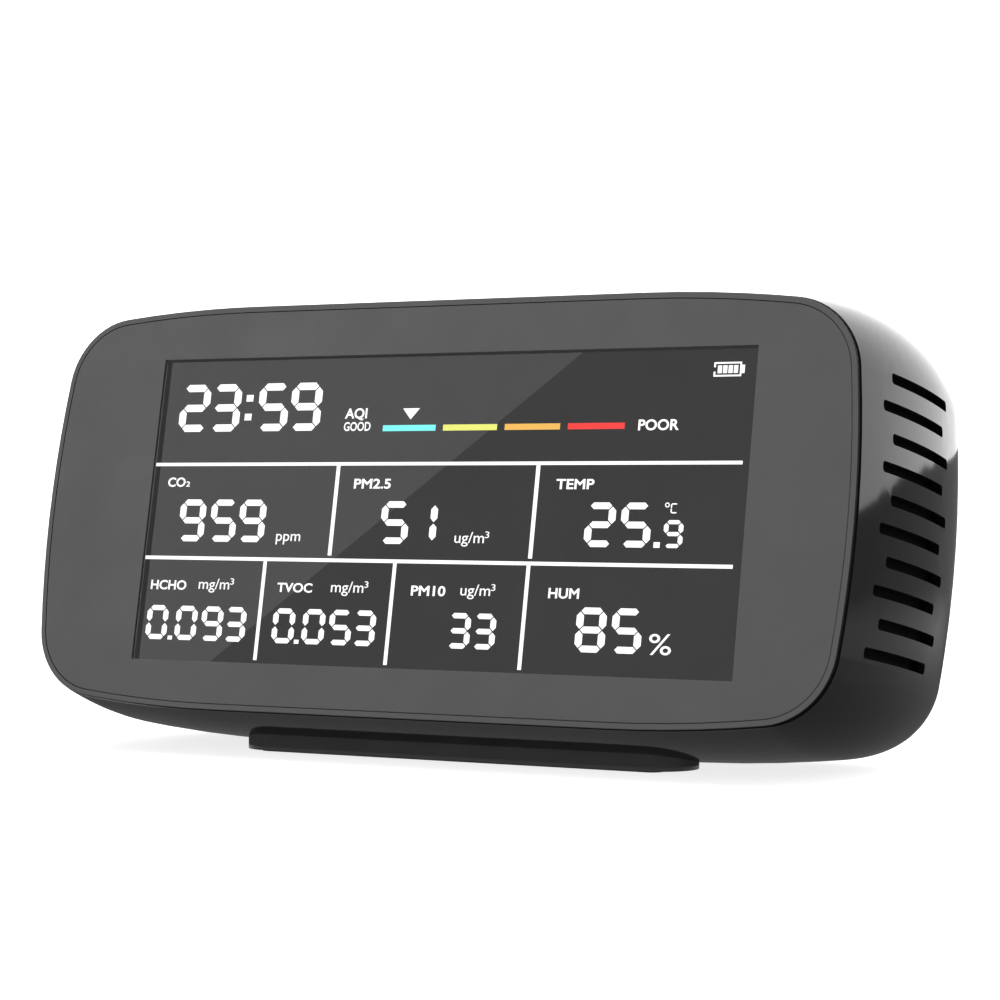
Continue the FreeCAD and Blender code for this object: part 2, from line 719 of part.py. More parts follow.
def make_casing(outer):
    cavity = hull("cavity", size("wall"), size("lip_depth") - 1)
    shell = cut("casing_shell", outer, cavity)
    ribs = []
    for index, side in enumerate((-1, 1)):
        place = (f"cell_x + ({side}) * 26", "cradle_floor - 4")
        ribs.append(box(f"cradle_rib{index}", "4", "8", "cell_depth - 8", "cell_depth + 8", *place))
    strip_y = "foot_front + strip_setback + strip_thickness / 2"
    foot_bosses = []
    for index, side in enumerate((-1, 1)):
        boss = ("foot_boss_width", None, "0", "foot_boss_top", f"({side}) * foot_screw_x", strip_y)
        foot_bosses.append(upright(f"foot_boss{index}", *boss, draw=circle))
    trimmed = common("inner_ribs", group("rib_blanks", ribs + foot_bosses), outer)
    posts = []
    for index, (x, y) in enumerate(POSTS):
        posts.append(cylinder(f"post{index}", "post_width", "post_end", "casing_depth - 1", x, y))
    for index, (x, y) in enumerate(POWER_POSTS):
        posts.append(
            cylinder(f"power_post{index}", "power_post_width", POWER_BOARD_BACK, "casing_depth - 1", x, y)
        )
    solid = fuse("casing_solid", [shell, trimmed] + posts)
    rows = group("vent_rows", [vent_tool("vents_upper", 0, 5), vent_tool("vents_lower", 1, 5)])
    inside = box("vent_inside", "2 * vent_reach", "face_height", "0", "casing_depth")
    tools = [cut("vents", rows, inside)]
    tools += [louvre_tool("louvres_left", -1), louvre_tool("louvres_right", 1)]
    for index, (x, y) in enumerate(POSTS):
        tools.append(cylinder(f"post_bore{index}", "post_bore", "post_seat", "casing_depth + 1", x, y))
        tools.append(cylinder(f"post_hole{index}", "long_screw + 0.4", "post_end - 1", "post_seat", x, y))
    for index, (x, y) in enumerate(POWER_POSTS):
        span = ("power_board_depth", INNER_BACK)
        tools.append(cylinder(f"power_hole{index}", "small_screw + screw_slack", *span, x, y))
    for name, (x, y) in zip(BUTTONS, BUTTON_PLACES):
        span = (INNER_BACK + " - 1", "casing_depth + 1")
        tools.append(cylinder(f"{name}_hole", "button_width + 2 * button_gap", *span, x, y))
    inlet = new_body("inlet")
    inlet_sketch = new_sketch(inlet, "inlet_outline")
    stadium(inlet_sketch, "usb_width + usb_slack", "usb_height + usb_slack")
    pad(inlet, inlet_sketch, "wall * 3")
    inlet.Placement = Placement(Vector(0, size("usb_y"), -size("casing_depth - wall * 2")), NO_TURN)
    tools.append(inlet)
    for index, side in enumerate((-1, 1)):
        seat = ("pad_width", "pad_thickness", "-1", "pad_height", f"({side}) * pad_x", "pad_y")
        tools.append(upright(f"pad_seat{index}", *seat))
        hole = ("foot_screw + screw_slack", None, "0", "foot_screw_top + 0.3")
        place = (f"({side}) * foot_screw_x", strip_y)
        tools.append(upright(f"foot_hole{index}", *hole, *place, draw=circle))
    casing = cut("casing_cut", solid, group("casing_tools", tools))
    finish(casing, "casing", in_device(0, 0, 0))


def make_vent_filters():
    clearance = size("wall + filter_gap")
    outside = hull("filter_outside", clearance, size("lip_depth") + 4)
    inside = hull("filter_inside", clearance + size("filter_thickness"), size("lip_depth") + 3.5)
    sheet_form = cut("filter_form", outside, inside)
    for name, side in (("vent_filter_left", -1), ("vent_filter_right", 1)):
        area = box(name + "_area", "40", "56", "6.8", "38.6", f"({side}) * 92", "1.3")
        finish(common(name + "_sheet", sheet_form, area), name, in_device(0, 0, 0))


# ---------------------------------------------------------------- display

def make_display():
    wide = "display_width + 2 * glass_margin"
    tall = "display_height + 2 * glass_margin"
    x = size("display_x")
    y = size("display_y")

    gasket = block("gasket", wide, tall, "glass_depth - lens_thickness")
    opening = new_sketch(gasket, "gasket_opening")
    rectangle(opening, "display_width + 0.5", "display_height + 0.5")
    pocket(gasket, opening, "glass_depth")
    finish(gasket, "display_gasket", in_device(x, y, size("lens_thickness")))

    glass = block("glass", wide, tall, "glass_thickness")
    ledge = new_sketch(glass, "glass_ledge_cut")
    rectangle(ledge, f"{wide} + 2", "glass_ledge", 0, f"glass_ledge / 2 - ({tall}) / 2")
    pocket(glass, ledge, "glass_thickness / 2")
    finish(glass, "display_glass", in_device(x, y, size("glass_depth")))

    light = block("light", wide, tall, "backlight_thickness")
    tray = new_sketch(light, "light_tray")
    rectangle(tray, "display_width", "display_height")
    pocket(light, tray, "backlight_thickness / 10")
    finish(light, "display_backlight", in_device(x, y, size("glass_depth + glass_thickness")))


def board_blank(name, thickness):
    """The main board's outline: an ear at each end, screw holes and a notch for the display cable."""
    body = block(name, "board_width", "board_height", thickness, "3")
    ears = new_sketch(body, name + "_ears")
    rounded_rectangle(ears, "ear_width", "ear_height", "2", "display_x")
    pad(body, ears, thickness)
    holes = new_sketch(body, name + "_holes")
    for x, y in EAR_SCREWS:
        circle(holes, "small_screw + 0.3", x, y)
    pocket(body, holes, thickness)
    notch = new_sketch(body, name + "_notch")
    rectangle(notch, "44", "5", 0, "-board_height / 2")
    pocket(body, notch, thickness)
    return body


def make_display_holder():
    plate = board_blank("holder", "holder_thickness")
    finish(plate, "display_holder", in_device(0, 0, size("spigot_depth")))


def ribbon(name, width, middle_y, middle_depth, half_y, half_depth, radius, removed):
    """A flat cable: a rounded tube around a middle, seen along X, with some of its sides removed."""
    body = new_body(name)
    thickness = "ribbon_thickness"
    low_z = f"-({middle_depth})"
    outside = new_sketch(body, name + "_outside", "YZ_Plane")
    rounded_rectangle(outside, f"2 * ({half_y})", f"2 * ({half_depth})", radius, middle_y, low_z)
    feature = body.newObject("PartDesign::Pad", name + "_pad")
    feature.Profile = outside
    bind(feature, "Length", width)
    feature.SideType = "Symmetric"
    doc.recompute()
    inside = new_sketch(body, name + "_inside", "YZ_Plane")
    inner = (f"2 * ({half_y}) - 2 * {thickness}", f"2 * ({half_depth}) - 2 * {thickness}")
    rounded_rectangle(inside, *inner, f"{radius} - {thickness}", middle_y, low_z)
    sketches = [inside]
    areas = {
        "above": (f"({middle_y}) + ({half_y})", low_z),
        "below": (f"({middle_y}) - ({half_y})", low_z),
        "front": (middle_y, f"{low_z} + ({half_depth})"),
    }
    for side in removed:
        area = new_sketch(body, f"{name}_{side}", "YZ_Plane")
        x, y = areas[side]
        if side == "front":
            rectangle(area, f"3 * ({half_y})", f"2 * ({half_depth})", x, y)
        else:
            rectangle(area, f"2 * ({half_y})", f"3 * ({half_depth})", x, y)
        sketches.append(area)
    for sketch in sketches:
        feature = body.newObject("PartDesign::Pocket", "Pocket_" + sketch.Name)
        feature.Profile = sketch
        bind(feature, "Length", f"({width}) + 2")
        feature.SideType = "Symmetric"
        doc.recompute()
    return body


def make_display_cable():
    """From the ledge of the glass, under the boards and up to the back of the main board."""
    front = "glass_depth + glass_thickness * 0.6"
    back = BOARD_BACK + " + 1.4"
    top = "display_y - display_height / 2 - glass_margin - 0.05"
    cable = ribbon(
        "display_cable", "40", top, f"(({back}) + ({front})) / 2", "1.95", f"(({back}) - ({front})) / 2",
        "0.8", ("above",),
    )
    finish(cable, "display_cable", in_device(0, 0, 0))


# ---------------------------------------------------------------- main board

def chips(body, name, height, places):
    """Rectangular parts of one height on the back of a board, each given as x, y, width, height."""
    sketch = new_sketch(body, name)
    for x, y, width, tall in places:
        rectangle(sketch, width, tall, x, y)
    pad(body, sketch, height)


def cans(body, name, height, places):
    """Round parts of one height on the back of a board, each given as x, y, width."""
    sketch = new_sketch(body, name)
    for x, y, width in places:
        circle(sketch, width, x, y)
    pad(body, sketch, height)


def make_main_board():
    board = board_blank("main", "board_thickness")
    finish(board, "main_board", in_device(0, 0, size(BOARD_DEPTH)))

    fitted = new_body("main_fitted")
    chips(fitted, "flat_chips", "1.1", ((-8, 6, 10, 10), (6, 12, 5, 4), (8, 2, 6, 5), (-8, -10, 5, 5)))
    chips(fitted, "coils", "3", ((10, -10, 6, 6), (18, -10, 5, 5)))
    chips(fitted, "cable_socket", "1.4", ((0, -29.2, 42, 3.6),))
    chips(fitted, "link_socket", "2.4", ((-10, 29.1, 22, 3.8),))
    chips(fitted, "small_parts", "0.7", [(-17 + 3 * step, 18, 1.6, 0.8) for step in range(12)])
    cans(fitted, "capacitors", "6", ((14, -20, 5), (20.5, -20, 5)))
    finish(fitted, "main_board_parts", in_device(0, 0, size(BOARD_BACK)))

    fixing = screws(
        "ear_screws", EAR_SCREWS, "small_screw", "board_thickness + holder_thickness + 3.4",
        "small_head", "small_head_height",
    )
    # The heads stand behind the board, so this piece is turned to point its shanks at the front.
    turned = Rotation(Vector(0, 1, 0), 180)
    place = in_device(2 * size("display_x"), 0, size(BOARD_BACK), turned)
    finish(fixing, "main_board_screws", place)


def make_sensors():
    foam_depth = size(BOARD_BACK)
    foam = block("foam", "30", "30", "dust_depth - (" + BOARD_BACK + ")", "2")
    finish(foam, "sensor_foam", in_device(42, 0, foam_depth))

    co2 = block("co2", "co2_width", "co2_height", "co2_thickness", "3")
    fillet(co2, co2.Tip, "1", at_height(-size("co2_thickness")))
    window = new_sketch(co2, "co2_window", offset="-co2_thickness")
    rounded_rectangle(window, "20", "9", "1.5")
    pocket(co2, window, "0.6", back=False)
    finish(co2, "co2_sensor", in_device(-38, 18, size(BOARD_BACK)))
    membrane = block("membrane", "19.8", "8.8", "0.4", "1.4")
    finish(membrane, "co2_sensor_membrane", in_device(-38, 18, size(BOARD_BACK + " + co2_thickness - 0.6")))

    gas = new_body("gas")
    wall = new_sketch(gas, "gas_wall")
    circle(wall, "gas_cell_width")
    can = pad(gas, wall, "gas_cell_thickness")
    fillet(gas, can, "1.2", at_height(-size("gas_cell_thickness")))
    mouth = new_sketch(gas, "gas_mouth", offset="-gas_cell_thickness")
    circle(mouth, "7")
    pocket(gas, mouth, "1.5", back=False)
    finish(gas, "formaldehyde_sensor", in_device(-46, -14, size(BOARD_BACK)))

    voc = new_body("voc")
    flange = new_sketch(voc, "voc_flange")
    circle(flange, "voc_width + 1.4")
    pad(voc, flange, "0.7")
    dome = new_sketch(voc, "voc_dome")
    circle(dome, "voc_width")
    can = pad(voc, dome, "voc_height")
    fillet(voc, can, "0.8", at_height(-size("voc_height")))
    finish(voc, "tvoc_sensor", in_device(-21, -20, size(BOARD_BACK)))

    climate = block("climate", "climate_width", "climate_height", "climate_thickness", "0.8")
    grid = new_sketch(climate, "climate_grid", offset="-climate_thickness")
    for step in range(4):
        rectangle(grid, "climate_width - 2", "1.2", 0, -3.6 + 2.4 * step)
    pocket(climate, grid, "climate_thickness / 2", back=False)
    finish(climate, "climate_sensor", in_device(-62.5, 0, size(BOARD_BACK)))


# ---------------------------------------------------------------- particle sensor

def make_particle_sensor():
    back = size("dust_depth + dust_thickness")
    case = block("dust", "dust_width", "dust_height", "dust_thickness", "1.5")
    chamber = new_sketch(case, "dust_chamber", offset="-dust_thickness")
    circle(chamber, "fan_chamber", "fan_x", 0)
    pocket(case, chamber, "fan_chamber_depth", back=False)
    duct = new_sketch(case, "dust_duct", offset="-dust_thickness")
    rectangle(duct, "12", "8", "fan_x - fan_chamber / 2 - 3", "-6")
    pocket(case, duct, "fan_chamber_depth * 0.7", back=False)
    pin = new_sketch(case, "dust_pin", offset="fan_chamber_depth - dust_thickness")
    circle(pin, "fan_pin", "fan_x", 0)
    pad(case, pin, "fan_height + 0.8")
    finish(case, "particle_sensor_case", in_device(size("dust_x"), 0, size("dust_depth")))

    fan = new_body("fan")
    hub = new_sketch(fan, "fan_hub_ring")
    circle(hub, "fan_hub")
    pad(fan, hub, "fan_height")
    blade = new_sketch(fan, "fan_blade")
    reach = "(fan_width - fan_hub) / 2"
    rectangle(blade, f"{reach} + 1", "0.8", f"fan_hub / 2 + ({reach}) / 2 - 0.5", "fan_hub * 0.15")
    polar(fan, pad(fan, blade, "fan_height * 0.85"), 9)
    bore = new_sketch(fan, "fan_bore")
    circle(bore, "fan_pin + fan_pin_slack")
    pocket(fan, bore, "fan_height")
    fan_place = in_device(size("dust_x + fan_x"), 0, back - size("fan_chamber_depth - 0.6"))
    finish(fan, "particle_sensor_fan", fan_place)

    cover = block("dust_lid", "dust_width", "dust_height", "dust_cover", "1.5", "-fan_x")
    fillet(cover, cover.Tip, "0.4", at_height(-size("dust_cover")))
    slot = new_sketch(cover, "dust_grille")
    stadium(slot, "5.6", "2", "fan_width * 0.32")
    opening = pocket(cover, slot, "dust_cover")
    polar(cover, opening, 8)
    finish(cover, "particle_sensor_cover", in_device(size("dust_x + fan_x"), 0, back))


# ---------------------------------------------------------------- battery

def make_battery():
    """A round cell lying across the device in a cradle, between two dimpled contacts."""
    along_x = Rotation(Vector(0, 1, 0), 90)
    x = size("cell_x")
    y = size("cell_y")
    depth = size("cell_depth")

    cell = new_body("cell")
    can = new_sketch(cell, "cell_can", offset="cell_length / 2")
    circle(can, "cell_width")
    tube = pad(cell, can, "cell_length - 1")
    ends = (size("cell_length") / 2, 1 - size("cell_length") / 2)
    fillet(cell, tube, "0.8", lambda edge: any(at_height(end)(edge) for end in ends))
    tip = new_sketch(cell, "cell_tip", offset="1 - cell_length / 2")
    circle(tip, "6")
    pad(cell, tip, "1")
    finish(cell, "battery_cell", in_device(x, y, depth, along_x))

    blank = box(
        "cradle_blank", "cradle_length", "cradle_height", "cell_depth - cradle_thickness / 2",
        "cell_depth + cradle_thickness / 2", "cell_x", "cradle_floor + cradle_height / 2",
    )
    trough = doc.addObject("Part::Cylinder", "cradle_trough")
    bind(trough, "Radius", "cell_width / 2 + 0.2")
    bind(trough, "Height", "cell_length + 2 * contact_thickness + 0.2")
    start = x - size("cell_length + 2 * contact_thickness + 0.2") / 2
    trough.Placement = Placement(Vector(start, y, -depth), along_x)
    finish(cut("cradle", blank, trough), "battery_cradle", in_device(0, 0, 0))

    contacts = new_body("contacts")
    end = "cell_length / 2 + contact_thickness + 0.05"
    for side, back in ((1, True), (-1, False)):
        plate = new_sketch(contacts, f"contact_plate{side}", offset=f"({side}) * ({end})")
        circle(plate, "9")
        pad(contacts, plate, "0.6", back=back)
        dimple = new_sketch(contacts, f"contact_dimple{side}", offset=f"({side}) * ({end} - 0.6)")
        circle(dimple, "4")
        pad(contacts, dimple, "contact_thickness - 0.6", back=back)
    finish(contacts, "battery_contacts", in_device(x, y, depth, along_x))


def make_battery_lead():
    """Two wires from the cradle's right end round to the plug on the power board."""
    radius = 3.0
    start = Vector(size("cell_x + cradle_length / 2"), 0, -33)
    turn_x = 22.2
    plug_x = turn_x + radius
    end_depth = size("power_board_depth") - 3
    swing = radius * (1 - math.sqrt(0.5))
    wires = []
    for offset in (-1.2, 1.2):
        shift = Vector(0, size("cell_y") + 3 + offset, 0)
        corner = Vector(turn_x, 0, -33) + shift
        middle = Vector(plug_x - swing, 0, -33 - swing) + shift
        leave = Vector(plug_x, 0, -33 - radius) + shift
        finish_point = Vector(plug_x, 0, -end_depth) + shift
        path = Part.Wire([
            Part.LineSegment(start + shift, corner).toShape(),
            Part.Arc(corner, middle, leave).toShape(),
            Part.LineSegment(leave, finish_point).toShape(),
        ])
        profile = Part.Wire(Part.Circle(start + shift, Vector(1, 0, 0), 0.7).toShape())
        wires.append(path.makePipeShell([profile], True, True))
    lead = doc.addObject("Part::Feature", "lead")
    lead.Shape = Part.makeCompound(wires)
    finish(lead, "battery_lead", in_device(0, 0, 0))


# ---------------------------------------------------------------- power board, buttons and inlet

def make_power_board():
    board = block("power", "power_board_width", "power_board_height", "board_thickness", "2")
    holes = new_sketch(board, "power_holes")
    for x, y in four("power_post_x", "power_post_y"):
        circle(holes, "small_screw + 0.3", x, y)
    pocket(board, holes, "board_thickness")
    finish(board, "power_board", in_device(0, size("power_board_y"), size("power_board_depth")))

    # Parts on the front of the board stand towards the face, so they are drawn from the board forwards.
    fitted = new_body("power_fitted")
    groups = (
        ("power_chips", "1.1", ((6, 2, 5, 5), (-8, -4, 4, 4), (-16, 4, 3, 3))),
        ("power_coil", "3", ((8, -10, 6, 6),)),
        ("power_plug", "3", ((25.2, -22.1, 6, 5),)),
        ("power_link", "3", ((-10, 18, 22, 4),)),
    )
    for name, height, places in groups:
        sketch = new_sketch(fitted, name)
        for x, y, width, tall in places:
            rectangle(sketch, width, tall, x, y)
        pad(fitted, sketch, height, back=False)
    finish(fitted, "power_board_parts", in_device(0, 0, size("power_board_depth")))

    buzzer = new_body("buzzer")
    drum = new_sketch(buzzer, "buzzer_drum")
    circle(drum, "12")
    can = pad(buzzer, drum, "5.5", back=False)
    fillet(buzzer, can, "0.5", at_height(5.5))
    mouth = new_sketch(buzzer, "buzzer_mouth", offset="5.5")
    circle(mouth, "2.5")
    pocket(buzzer, mouth, "1.5")
    finish(buzzer, "buzzer", in_device(22, 4, size("power_board_depth")))

    fixing = screws(
        "power_screws", four("power_post_x", "power_post_y"), "small_screw", "board_thickness + 5",
        "small_head", "small_head_height",
    )
    place = in_device(0, size("power_board_y"), size("power_board_depth"))
    finish(fixing, "power_board_screws", place)

    link = ribbon(
        "link", "20", "20.05", BOARD_BACK + " + 2.4", "9.15",
        "power_board_depth - 1.4 - (" + BOARD_BACK + " + 2.4)", "2", ("below", "front"),
    )
    finish(link, "board_link_cable", in_device(-10, 0, 0))


def make_inlet():
    port = new_body("port")
    shell = new_sketch(port, "port_shell")
    stadium(shell, "usb_width", "usb_height")
    pad(port, shell, "usb_length")
    mouth = new_sketch(port, "port_mouth", offset="-usb_length")
    stadium(mouth, "usb_width - 2 * usb_wall", "usb_height - 2 * usb_wall")
    pocket(port, mouth, "usb_length - 3", back=False)
    tongue = new_sketch(port, "port_tongue", offset="-2.5")
    rectangle(tongue, "6.7", "0.7")
    pad(port, tongue, "usb_length - 3.3")
    finish(port, "usb_c_port", in_device(0, size("usb_y"), size(POWER_BOARD_BACK)))


def make_switches():
    switches = new_body("switches")
    cases = new_sketch(switches, "switch_cases")
    wells = new_sketch(switches, "switch_wells", offset="-switch_height")
    for x, y in BUTTON_PLACES:
        rectangle(cases, "switch_width", "switch_width", x, y)
        circle(wells, "plunger_width + plunger_slack", x, y)
    pad(switches, cases, "switch_height")
    pocket(switches, wells, "switch_well", back=False)
    finish(switches, "button_switches", in_device(0, 0, size(POWER_BOARD_BACK)))

    plunger_front = size(POWER_BOARD_BACK + " + switch_height - plunger_buried")
    cap_front = plunger_front + size("plunger_buried + plunger_proud")
    flange_front = size(INNER_BACK + " - button_slack - button_flange_height")
    for name, (x, y) in zip(BUTTONS, BUTTON_PLACES):
        plunger = new_body(name + "_core")
        core = new_sketch(plunger, name + "_core_ring")
        circle(core, "plunger_width")
        pad(plunger, core, "plunger_buried + plunger_proud")
        finish(plunger, name + "_plunger", in_device(size(x), size(y), plunger_front))

        cap = new_body(name + "_cap")
        stem = new_sketch(cap, name + "_stem")
        circle(stem, "button_stem")
        pad(cap, stem, str(flange_front - cap_front + 0.1))
        flange = new_sketch(cap, name + "_flange", offset=str(cap_front - flange_front))
        circle(flange, "button_flange")
        pad(cap, flange, "button_flange_height")
        head_front = cap_front - flange_front - size("button_flange_height")
        head = new_sketch(cap, name + "_head", offset=str(head_front))
        circle(head, "button_width")
        top = pad(cap, head, "button_slack + wall + button_proud")
        end = min(vertex.Z for vertex in cap.Shape.Vertexes)
        fillet(cap, top, "0.5", at_height(end))
        finish(cap, name + "_button", in_device(size(x), size(y), cap_front))


# ---------------------------------------------------------------- foot, pads and screws

def make_foot(outer):
    strip_y = "foot_front + strip_setback + strip_thickness / 2"
    bar_y = "foot_front + foot_thickness / 2"
    blank = upright("foot_blank", "foot_width", "foot_thickness", "foot_clearance", "9", "0", bar_y)
    seat = ("strip_width + 0.1", "strip_thickness + 0.1", "-1", "strip_height")
    foot = cut("foot_seat", blank, upright("strip_seat", *seat, "0", strip_y))
    sink_top = "strip_height + foot_screw_head_height"
    for index, side in enumerate((-1, 1)):
        x = f"({side}) * foot_screw_x"
        head = ("foot_screw_head + 0.2", None, "strip_height", sink_top)
        sink = upright(f"foot_sink{index}", *head, x, strip_y, draw=circle)
        shank = ("foot_screw + screw_slack", None, sink_top, "9")
        way = upright(f"foot_way{index}", *shank, x, strip_y, draw=circle)
        foot = cut(f"foot_way_cut{index}", cut(f"foot_sink_cut{index}", foot, sink), way)
    finish(cut("foot_cut", foot, outer), "foot", in_device(0, 0, 0))

    strip = new_body("strip")
    plan = new_sketch(strip, "strip_outline")
    stadium(plan, "strip_width", "strip_thickness")
    pad(strip, plan, "strip_height", back=False)
    finish(strip, "foot_strip", on_table(0, size(strip_y), 0))

    places = [(f"({side}) * foot_screw_x", 0) for side in (-1, 1)]
    shank_length = f"foot_screw_top - ({sink_top})"
    head = ("foot_screw_head", "foot_screw_head_height")
    fixing = screws("foot_fixing", places, "foot_screw", shank_length, *head)
    place = on_table(0, size(strip_y), size(sink_top))
    finish(fixing, "foot_screws", place * Placement(Vector(0, 0, 0), FLIPPED))

    pads = new_body("pads")
    plan = new_sketch(pads, "pads_plan")
    for side in (-1, 1):
        stadium(plan, "pad_width - 0.1", "pad_thickness - 0.1", f"({side}) * pad_x", 0)
    pad(pads, plan, "pad_height", back=False)
    finish(pads, "rear_pads", on_table(0, size("pad_y"), 0))


def make_casing_screws():
    fixing = screws("long", POSTS, "long_screw", "long_screw_length", "long_head", "long_head_height")
    turned = Rotation(Vector(0, 1, 0), 180)
    finish(fixing, "casing_screws", in_device(0, 0, size("post_seat"), turned))


# ---------------------------------------------------------------- build, check and write

# Sub-parts made of several separate pieces, and how many. Every other sub-part is one piece.
PIECES = {
    "main_board_parts": 22,
    "main_board_screws": 4,
    "battery_contacts": 2,
    "battery_lead": 2,
    "power_board_parts": 6,
    "power_board_screws": 4,
    "button_switches": 4,
    "foot_screws": 2,
    "rear_pads": 2,
    "casing_screws": 4,
}


def check_everything():
    doc.recompute()
    for thing in doc.Objects:
        if {"Invalid", "Error"} & set(thing.State):
            raise RuntimeError(f"{thing.Name} failed: {thing.State}")
    for part in subparts:
        if part.Shape.isNull() or not part.Shape.isValid() or not part.Shape.Solids:
            raise RuntimeError(f"{part.Label} has no valid solid")
        if len(part.Shape.Solids) != PIECES.get(part.Label, 1):
            raise RuntimeError(f"{part.Label} is in {len(part.Shape.Solids)} pieces")


def write_everything():
    os.makedirs("parts", exist_ok=True)
    for part in subparts:
        part.Shape.exportStep(f"parts/{part.Label}.step")
        print(f"{part.Label}: {len(part.Shape.Solids)} solid(s), {part.Shape.Volume:.1f} mm3")


outer_form = hull("outer_form", 0, size("lip_depth"))
make_lens_panel()
make_lens_tape()
make_front_frame()
make_casing(outer_form)
make_vent_filters()
make_display()
make_display_holder()
make_display_cable()
make_main_board()
make_sensors()
make_particle_sensor()
make_battery()
make_battery_lead()
make_power_board()
make_inlet()
make_switches()
make_foot(outer_form)
make_casing_screws()
check_everything()
write_everything()
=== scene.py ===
import json
import math

import bmesh
import bpy
from mathutils import Matrix, Vector


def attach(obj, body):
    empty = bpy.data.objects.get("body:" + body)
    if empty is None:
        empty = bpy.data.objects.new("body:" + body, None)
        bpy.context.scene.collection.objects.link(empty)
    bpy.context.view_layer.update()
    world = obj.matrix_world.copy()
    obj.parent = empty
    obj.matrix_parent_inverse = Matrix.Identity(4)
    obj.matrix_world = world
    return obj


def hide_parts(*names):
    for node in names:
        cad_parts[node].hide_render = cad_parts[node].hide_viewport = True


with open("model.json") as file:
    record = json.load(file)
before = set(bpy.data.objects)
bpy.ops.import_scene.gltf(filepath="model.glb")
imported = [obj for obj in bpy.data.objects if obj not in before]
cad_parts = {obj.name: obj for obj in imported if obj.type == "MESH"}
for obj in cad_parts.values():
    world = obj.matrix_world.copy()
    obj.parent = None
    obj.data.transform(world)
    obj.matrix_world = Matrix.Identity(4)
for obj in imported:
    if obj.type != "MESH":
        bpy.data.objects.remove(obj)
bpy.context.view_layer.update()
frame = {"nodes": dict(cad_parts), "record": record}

MM = 0.001
TILT = math.radians(10.65)
FACE = Vector((0, -28.357, 47.7)) * MM
ACROSS = Vector((1, 0, 0))
UP_FACE = Vector((0, math.sin(TILT), math.cos(TILT)))
OUT = Vector((0, -math.cos(TILT), math.sin(TILT)))

# Lit area of the display, in millimetres from the middle of the face.
LEFT, RIGHT, LOW, HIGH = -61.0, 65.0, -30.0, 29.0
GLASS_DEPTH = 1.2


def on_face(x, y, depth=0.0):
    """A point in metres from millimetres across the face, up the face and behind it."""
    return FACE + (ACROSS * x + UP_FACE * y - OUT * depth) * MM


# ---------------------------------------------------------------- materials

# Patterns, in repeats per metre: slow changes of gloss, changes of tone, and unevenness of a light.
GLOSS_SCALE = 60
TONE_SCALE = 180
GLOW_SCALE = 90
# A noise pattern keeps mostly between these two values.
NOISE_LOW, NOISE_HIGH = 0.3, 0.7
# Share of the named roughness at the glossiest and at the dullest places.
GLOSSIEST, DULLEST = 0.85, 1.2


class Look:
    """A material in the making: its nodes, its output, and the coordinates that its patterns follow."""

    def __init__(self, name):
        self.material = bpy.data.materials.new(name)
        self.material.use_nodes = True
        self.tree = self.material.node_tree
        self.tree.nodes.clear()
        self.output = self.add("ShaderNodeOutputMaterial")
        self.place = self.add("ShaderNodeTexCoord").outputs["Object"]

    def add(self, kind, **settings):
        node = self.tree.nodes.new(kind)
        for name, value in settings.items():
            setattr(node, name, value)
        return node

    def link(self, source, target):
        self.tree.links.new(source, target)

    def noise(self, scale, detail=3.0, roughness=0.5):
        node = self.add("ShaderNodeTexNoise")
        self.link(self.place, node.inputs["Vector"])
        node.inputs["Scale"].default_value = scale
        node.inputs["Detail"].default_value = detail
        node.inputs["Roughness"].default_value = roughness
        return node.outputs["Fac"]

    def spread(self, source, low, high, start=NOISE_LOW, end=NOISE_HIGH):
        """Map a pattern between two values."""
        node = self.add("ShaderNodeMapRange")
        self.link(source, node.inputs["Value"])
        node.inputs["From Min"].default_value = start
        node.inputs["From Max"].default_value = end
        node.inputs["To Min"].default_value = low
        node.inputs["To Max"].default_value = high
        return node.outputs["Result"]

    def colours(self, source, dark, light):
        node = self.add("ShaderNodeValToRGB")
        self.link(source, node.inputs["Fac"])
        node.color_ramp.elements[0].position = NOISE_LOW
        node.color_ramp.elements[1].position = NOISE_HIGH
        node.color_ramp.elements[0].color = (*dark, 1)
        node.color_ramp.elements[1].color = (*light, 1)
        return node.outputs["Color"]

    def bump(self, source, height):
        node = self.add("ShaderNodeBump")
        self.link(source, node.inputs["Height"])
        node.inputs["Distance"].default_value = height
        node.inputs["Strength"].default_value = 1.0
        return node.outputs["Normal"]

    def surface(self, colour, roughness, normal=None, metallic=0.0, specular=0.5):
        shader = self.add("ShaderNodeBsdfPrincipled")
        self.link(colour, shader.inputs["Base Color"])
        self.link(roughness, shader.inputs["Roughness"])
        if normal is not None:
            self.link(normal, shader.inputs["Normal"])
        shader.inputs["Metallic"].default_value = metallic
        shader.inputs["Specular IOR Level"].default_value = specular
        self.link(shader.outputs["BSDF"], self.output.inputs["Surface"])
        self.shader = shader
        return self.material


def shade(colour, factor):
    return tuple(min(channel * factor, 1.0) for channel in colour)


def moulded(name, colour, roughness, grain=9000.0, depth=2e-6, specular=0.5, swing=0.12):
    """Moulded plastic or rubber: fine grain, slow changes of gloss, a little colour variation."""
    look = Look(name)
    tone = look.colours(look.noise(TONE_SCALE, 4), shade(colour, 1 - swing), shade(colour, 1 + swing))
    gloss = look.spread(look.noise(GLOSS_SCALE, 5, 0.6), roughness * GLOSSIEST, roughness * DULLEST)
    return look.surface(tone, gloss, look.bump(look.noise(grain, 2), depth), specular=specular)


# Repeats per metre of a metal's marks along each axis.
MARKS = (40, 40, 4000)


